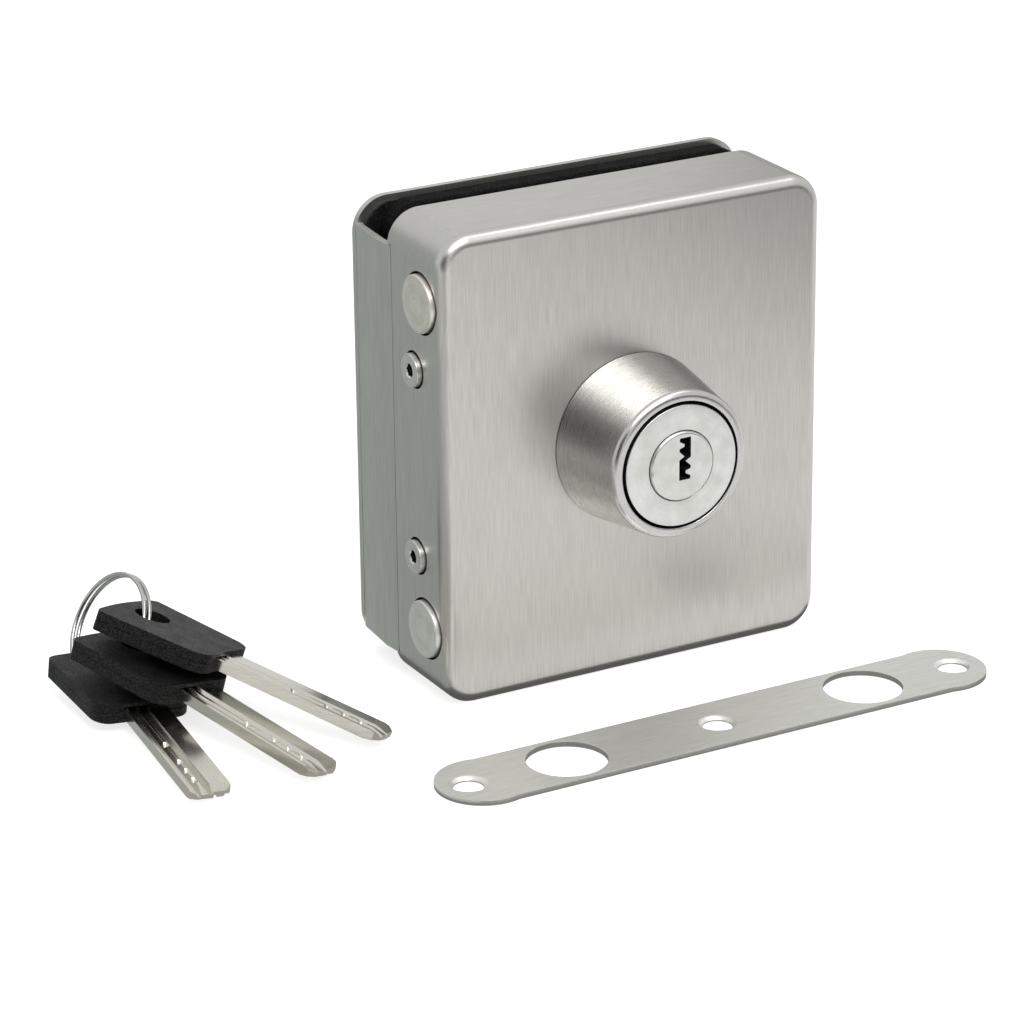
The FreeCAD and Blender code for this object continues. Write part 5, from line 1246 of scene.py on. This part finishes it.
    def build(self) -> None:
        """Make the three keys and their ring."""
        for pose in KEY_POSES:
            self.blade(pose)
            self.bow(pose)
        self.ring()


@dataclass(frozen=True)
class Softbox:
    """A lamp with a wide soft face; places and sizes in metres, power in watts."""

    name: str
    place: Point
    aim: Point
    size: tuple[float, float]
    power: float


@dataclass(frozen=True)
class Card:
    """A plain card that only shows in reflections; places and sizes in metres, angles in degrees.

    A mat lies flat just over the floor, a flag stands upright.
    """

    name: str
    place: Point
    size: tuple[float, float]
    colour: str
    tilt: float = 0.0
    turn: float = 0.0


@dataclass
class Studio:
    """Camera, floor and soft light; places in metres, angles in degrees."""

    eye: Point = (-0.41867, -0.71916, 0.35840)
    yaw: float = 28.84
    pitch: float = 21.48
    roll: float = -0.63
    lens_mm: float = 151.97
    sensor_mm: float = 36.0
    clip: tuple[float, float] = (0.01, 20.0)
    floor_width: float = 12.0
    floor_drop: float = 0.0002
    floor_grey: str = "d8d8d6"
    floor_in_metal: float = 0.42
    floor_to_camera: float = 0.75
    sky_on_object: float = 0.5
    sky_in_metal: float = 0.82
    sky_to_camera: float = 1.0
    lamps: tuple[Softbox, ...] = (
        Softbox("top_softbox", (0.2, -0.4, 1.15), (0, 0, 0.05), (1.3, 0.28), 2.4),
        Softbox("front_softbox", (-0.12, -0.8, 0.91), (0, 0, 0.06), (0.9, 0.38), 5.5),
    )
    cards: tuple[Card, ...] = (
        Card("front_flag", (0.75, -1.2, 0.22), (1.7, 0.44), "525252", 90),
        Card("side_mat", (-0.494, 0.42, 0.0006), (0.896, 0.88), "afb4b1"),
        Card("right_mat", (0.68, -0.68, 0.0006), (1.06, 1.0), "9e9e9e"),
        Card("left_mat", (-0.515, -0.56, 0.0008), (0.73, 0.7), "8c8c8a"),
        Card("near_mat", (-0.16, -0.052, 0.0007), (0.2, 0.084), "b4b4b2"),
        Card("left_flag", (-0.72, -0.62, 0.3), (0.7, 0.6), "202020", 90, -48),
        # Dark card under the lock's foot: painted shadow, seen only in reflections.
        Card("foot_shadow_card", (0.0, 0.002, 0.0004), (0.1, 0.032), "6c6c6c"),
        Card("back_flag", (0.052, 0.12, 0.03), (0.064, 0.06), "303030", 90),
        # Dark card under the strike plate: painted shadow, seen only in reflections.
        Card("strike_shadow_card", (-0.0012, -0.0471, 0.0001), (0.132, 0.0218), "6e6e6e"),
        Card("rear_flag", (0.58, 0.5, 0.28), (0.48, 0.44), "b0b0ad", 90),
        Card("side_flag", (-0.62, 0.87, 0.2), (0.9, 0.4), "afb4b1", 90),
    )

    def camera(self) -> None:
        """Place the camera at the photograph's viewing angle."""
        yaw, pitch, roll = (math.radians(a) for a in (self.yaw, self.pitch, self.roll))
        forward = Vector((math.sin(yaw) * math.cos(pitch), math.cos(yaw) * math.cos(pitch), -math.sin(pitch)))
        right = Vector((math.cos(yaw), -math.sin(yaw), 0))
        up = right.cross(forward)
        across = right * math.cos(roll) + up * math.sin(roll)
        upward = up * math.cos(roll) - right * math.sin(roll)
        data = bpy.data.cameras.new("camera")
        data.lens, data.sensor_width = self.lens_mm, self.sensor_mm
        data.clip_start, data.clip_end = self.clip
        camera = bpy.data.objects.new("camera", data)
        turn = Matrix((across, upward, -forward)).transposed().to_4x4()
        camera.matrix_world = Matrix.Translation(self.eye) @ turn
        bpy.context.scene.collection.objects.link(camera)
        bpy.context.scene.camera = camera

    def hang(self, box: Softbox) -> None:
        """Hang one softbox.

        Args:
            box: The softbox.
        """
        data = bpy.data.lights.new(box.name, "AREA")
        data.shape = "RECTANGLE"
        data.size, data.size_y = box.size
        data.energy = box.power
        lamp = bpy.data.objects.new(box.name, data)
        lamp.location = box.place
        lamp.rotation_euler = (Vector(box.aim) - Vector(box.place)).to_track_quat("-Z", "Y").to_euler()
        bpy.context.scene.collection.objects.link(lamp)

    def sheet(self, name: str, size: tuple[float, float], drop: float = 0.0) -> bpy.types.Object:
        """Lay one flat sheet with a bare material of its own.

        Args:
            name: Name of the sheet and of its material.
            size: Its width and length in metres.
            drop: How far it lies under its own origin, in metres.

        Returns:
            The sheet, linked to the scene.
        """
        grid = bmesh.new()
        bmesh.ops.create_grid(grid, x_segments=1, y_segments=1, size=0.5)
        bmesh.ops.scale(grid, verts=grid.verts, vec=(size[0], size[1], 1))
        bmesh.ops.translate(grid, verts=grid.verts, vec=(0, 0, -drop))
        mesh = bpy.data.meshes.new(name)
        grid.to_mesh(mesh)
        grid.free()
        laid = bpy.data.objects.new(name, mesh)
        bpy.context.scene.collection.objects.link(laid)
        paint = bpy.data.materials.new(name)
        paint.use_nodes = True
        paint.node_tree.nodes.remove(paint.node_tree.nodes["Principled BSDF"])
        mesh.materials.append(paint)
        return laid

    def set_up(self, plan: Card) -> None:
        """Set up one card that the camera doesn't see.

        Args:
            plan: What the card is like and where it goes.
        """
        card = self.sheet(plan.name, plan.size)
        card.location = plan.place
        card.rotation_euler = (math.radians(plan.tilt), 0, math.radians(plan.turn))
        tree = card.data.materials[0].node_tree
        glow = add_node(tree, "ShaderNodeEmission", {"Color": linear(plan.colour), "Strength": 1.0})
        tree.links.new(glow.outputs[0], tree.nodes["Material Output"].inputs[0])
        card.visible_camera = card.visible_diffuse = card.visible_shadow = False
        card.visible_transmission = False

    def seen_directly(self, tree: bpy.types.NodeTree, path: bpy.types.Node) -> Socket:
        """Tell rays of the camera, and those through clear pieces, from all others.

        Args:
            tree: Nodes of the floor or the world.
            path: Its Light Path node.

        Returns:
            One for such a ray and nought for another.
        """
        seen = add_node(tree, "ShaderNodeMath", {"operation": "MAXIMUM"},
                        {0: path.outputs["Is Camera Ray"], 1: path.outputs["Is Transmission Ray"]})
        return seen.outputs[0]

    def floor(self) -> None:
        """Lay the plain pale floor, white to the camera and with the object's shadow."""
        floor = self.sheet("floor", (self.floor_width, self.floor_width), self.floor_drop)
        tree = floor.data.materials[0].node_tree
        path = add_node(tree, "ShaderNodeLightPath")
        paper = add_node(tree, "ShaderNodeBsdfDiffuse", {"Color": linear(self.floor_grey)})
        direct = self.seen_directly(tree, path)
        level = add_node(tree, "ShaderNodeMapRange",
                         {"To Min": self.floor_in_metal, "To Max": self.floor_to_camera}, {"Value": direct})
        glow = add_node(tree, "ShaderNodeEmission", {"Color": linear("ffffff")},
                        {"Strength": level.outputs["Result"]})
        seen = add_node(tree, "ShaderNodeMath", {"operation": "MAXIMUM"},
                        {0: direct, 1: path.outputs["Is Glossy Ray"]})
        lit = add_node(tree, "ShaderNodeAddShader", {}, {0: paper.outputs[0], 1: glow.outputs[0]})
        mix = add_node(tree, "ShaderNodeMixShader", {},
                       {0: seen.outputs[0], 1: paper.outputs[0], 2: lit.outputs[0]})
        tree.links.new(mix.outputs[0], tree.nodes["Material Output"].inputs[0])

    def world(self) -> None:
        """White behind the object, softer light on it."""
        world = bpy.data.worlds.new("studio")
        bpy.context.scene.world = world
        world.use_nodes = True
        tree = world.node_tree
        back = tree.nodes["Background"]
        back.inputs["Color"].default_value = linear("ffffff")
        path = add_node(tree, "ShaderNodeLightPath")
        mirrored = add_node(tree, "ShaderNodeMapRange",
                            {"To Min": self.sky_on_object, "To Max": self.sky_in_metal},
                            {"Value": path.outputs["Is Glossy Ray"]})
        level = add_node(tree, "ShaderNodeMapRange", {"To Max": self.sky_to_camera},
                         {"Value": self.seen_directly(tree, path), "To Min": mirrored.outputs["Result"]})
        tree.links.new(level.outputs["Result"], back.inputs["Strength"])

    def build(self) -> None:
        """Set up the whole studio."""
        bpy.context.scene.view_settings.view_transform = "Standard"
        self.camera()
        self.floor()
        self.world()
        for box in self.lamps:
            self.hang(box)
        for plan in self.cards:
            self.set_up(plan)


def main() -> None:
    """Dress the CAD nodes, add the finer pieces and light them."""
    logging.basicConfig(level=logging.INFO)
    dress_cad_nodes()
    for assembly in (Cover(), CylinderFront(), Bolts(), GlassClamp(), StrikePlate(), KeySet(), Studio()):
        assembly.build()
        log.info("built %s", type(assembly).__name__)


if __name__ == "__main__":
    main()
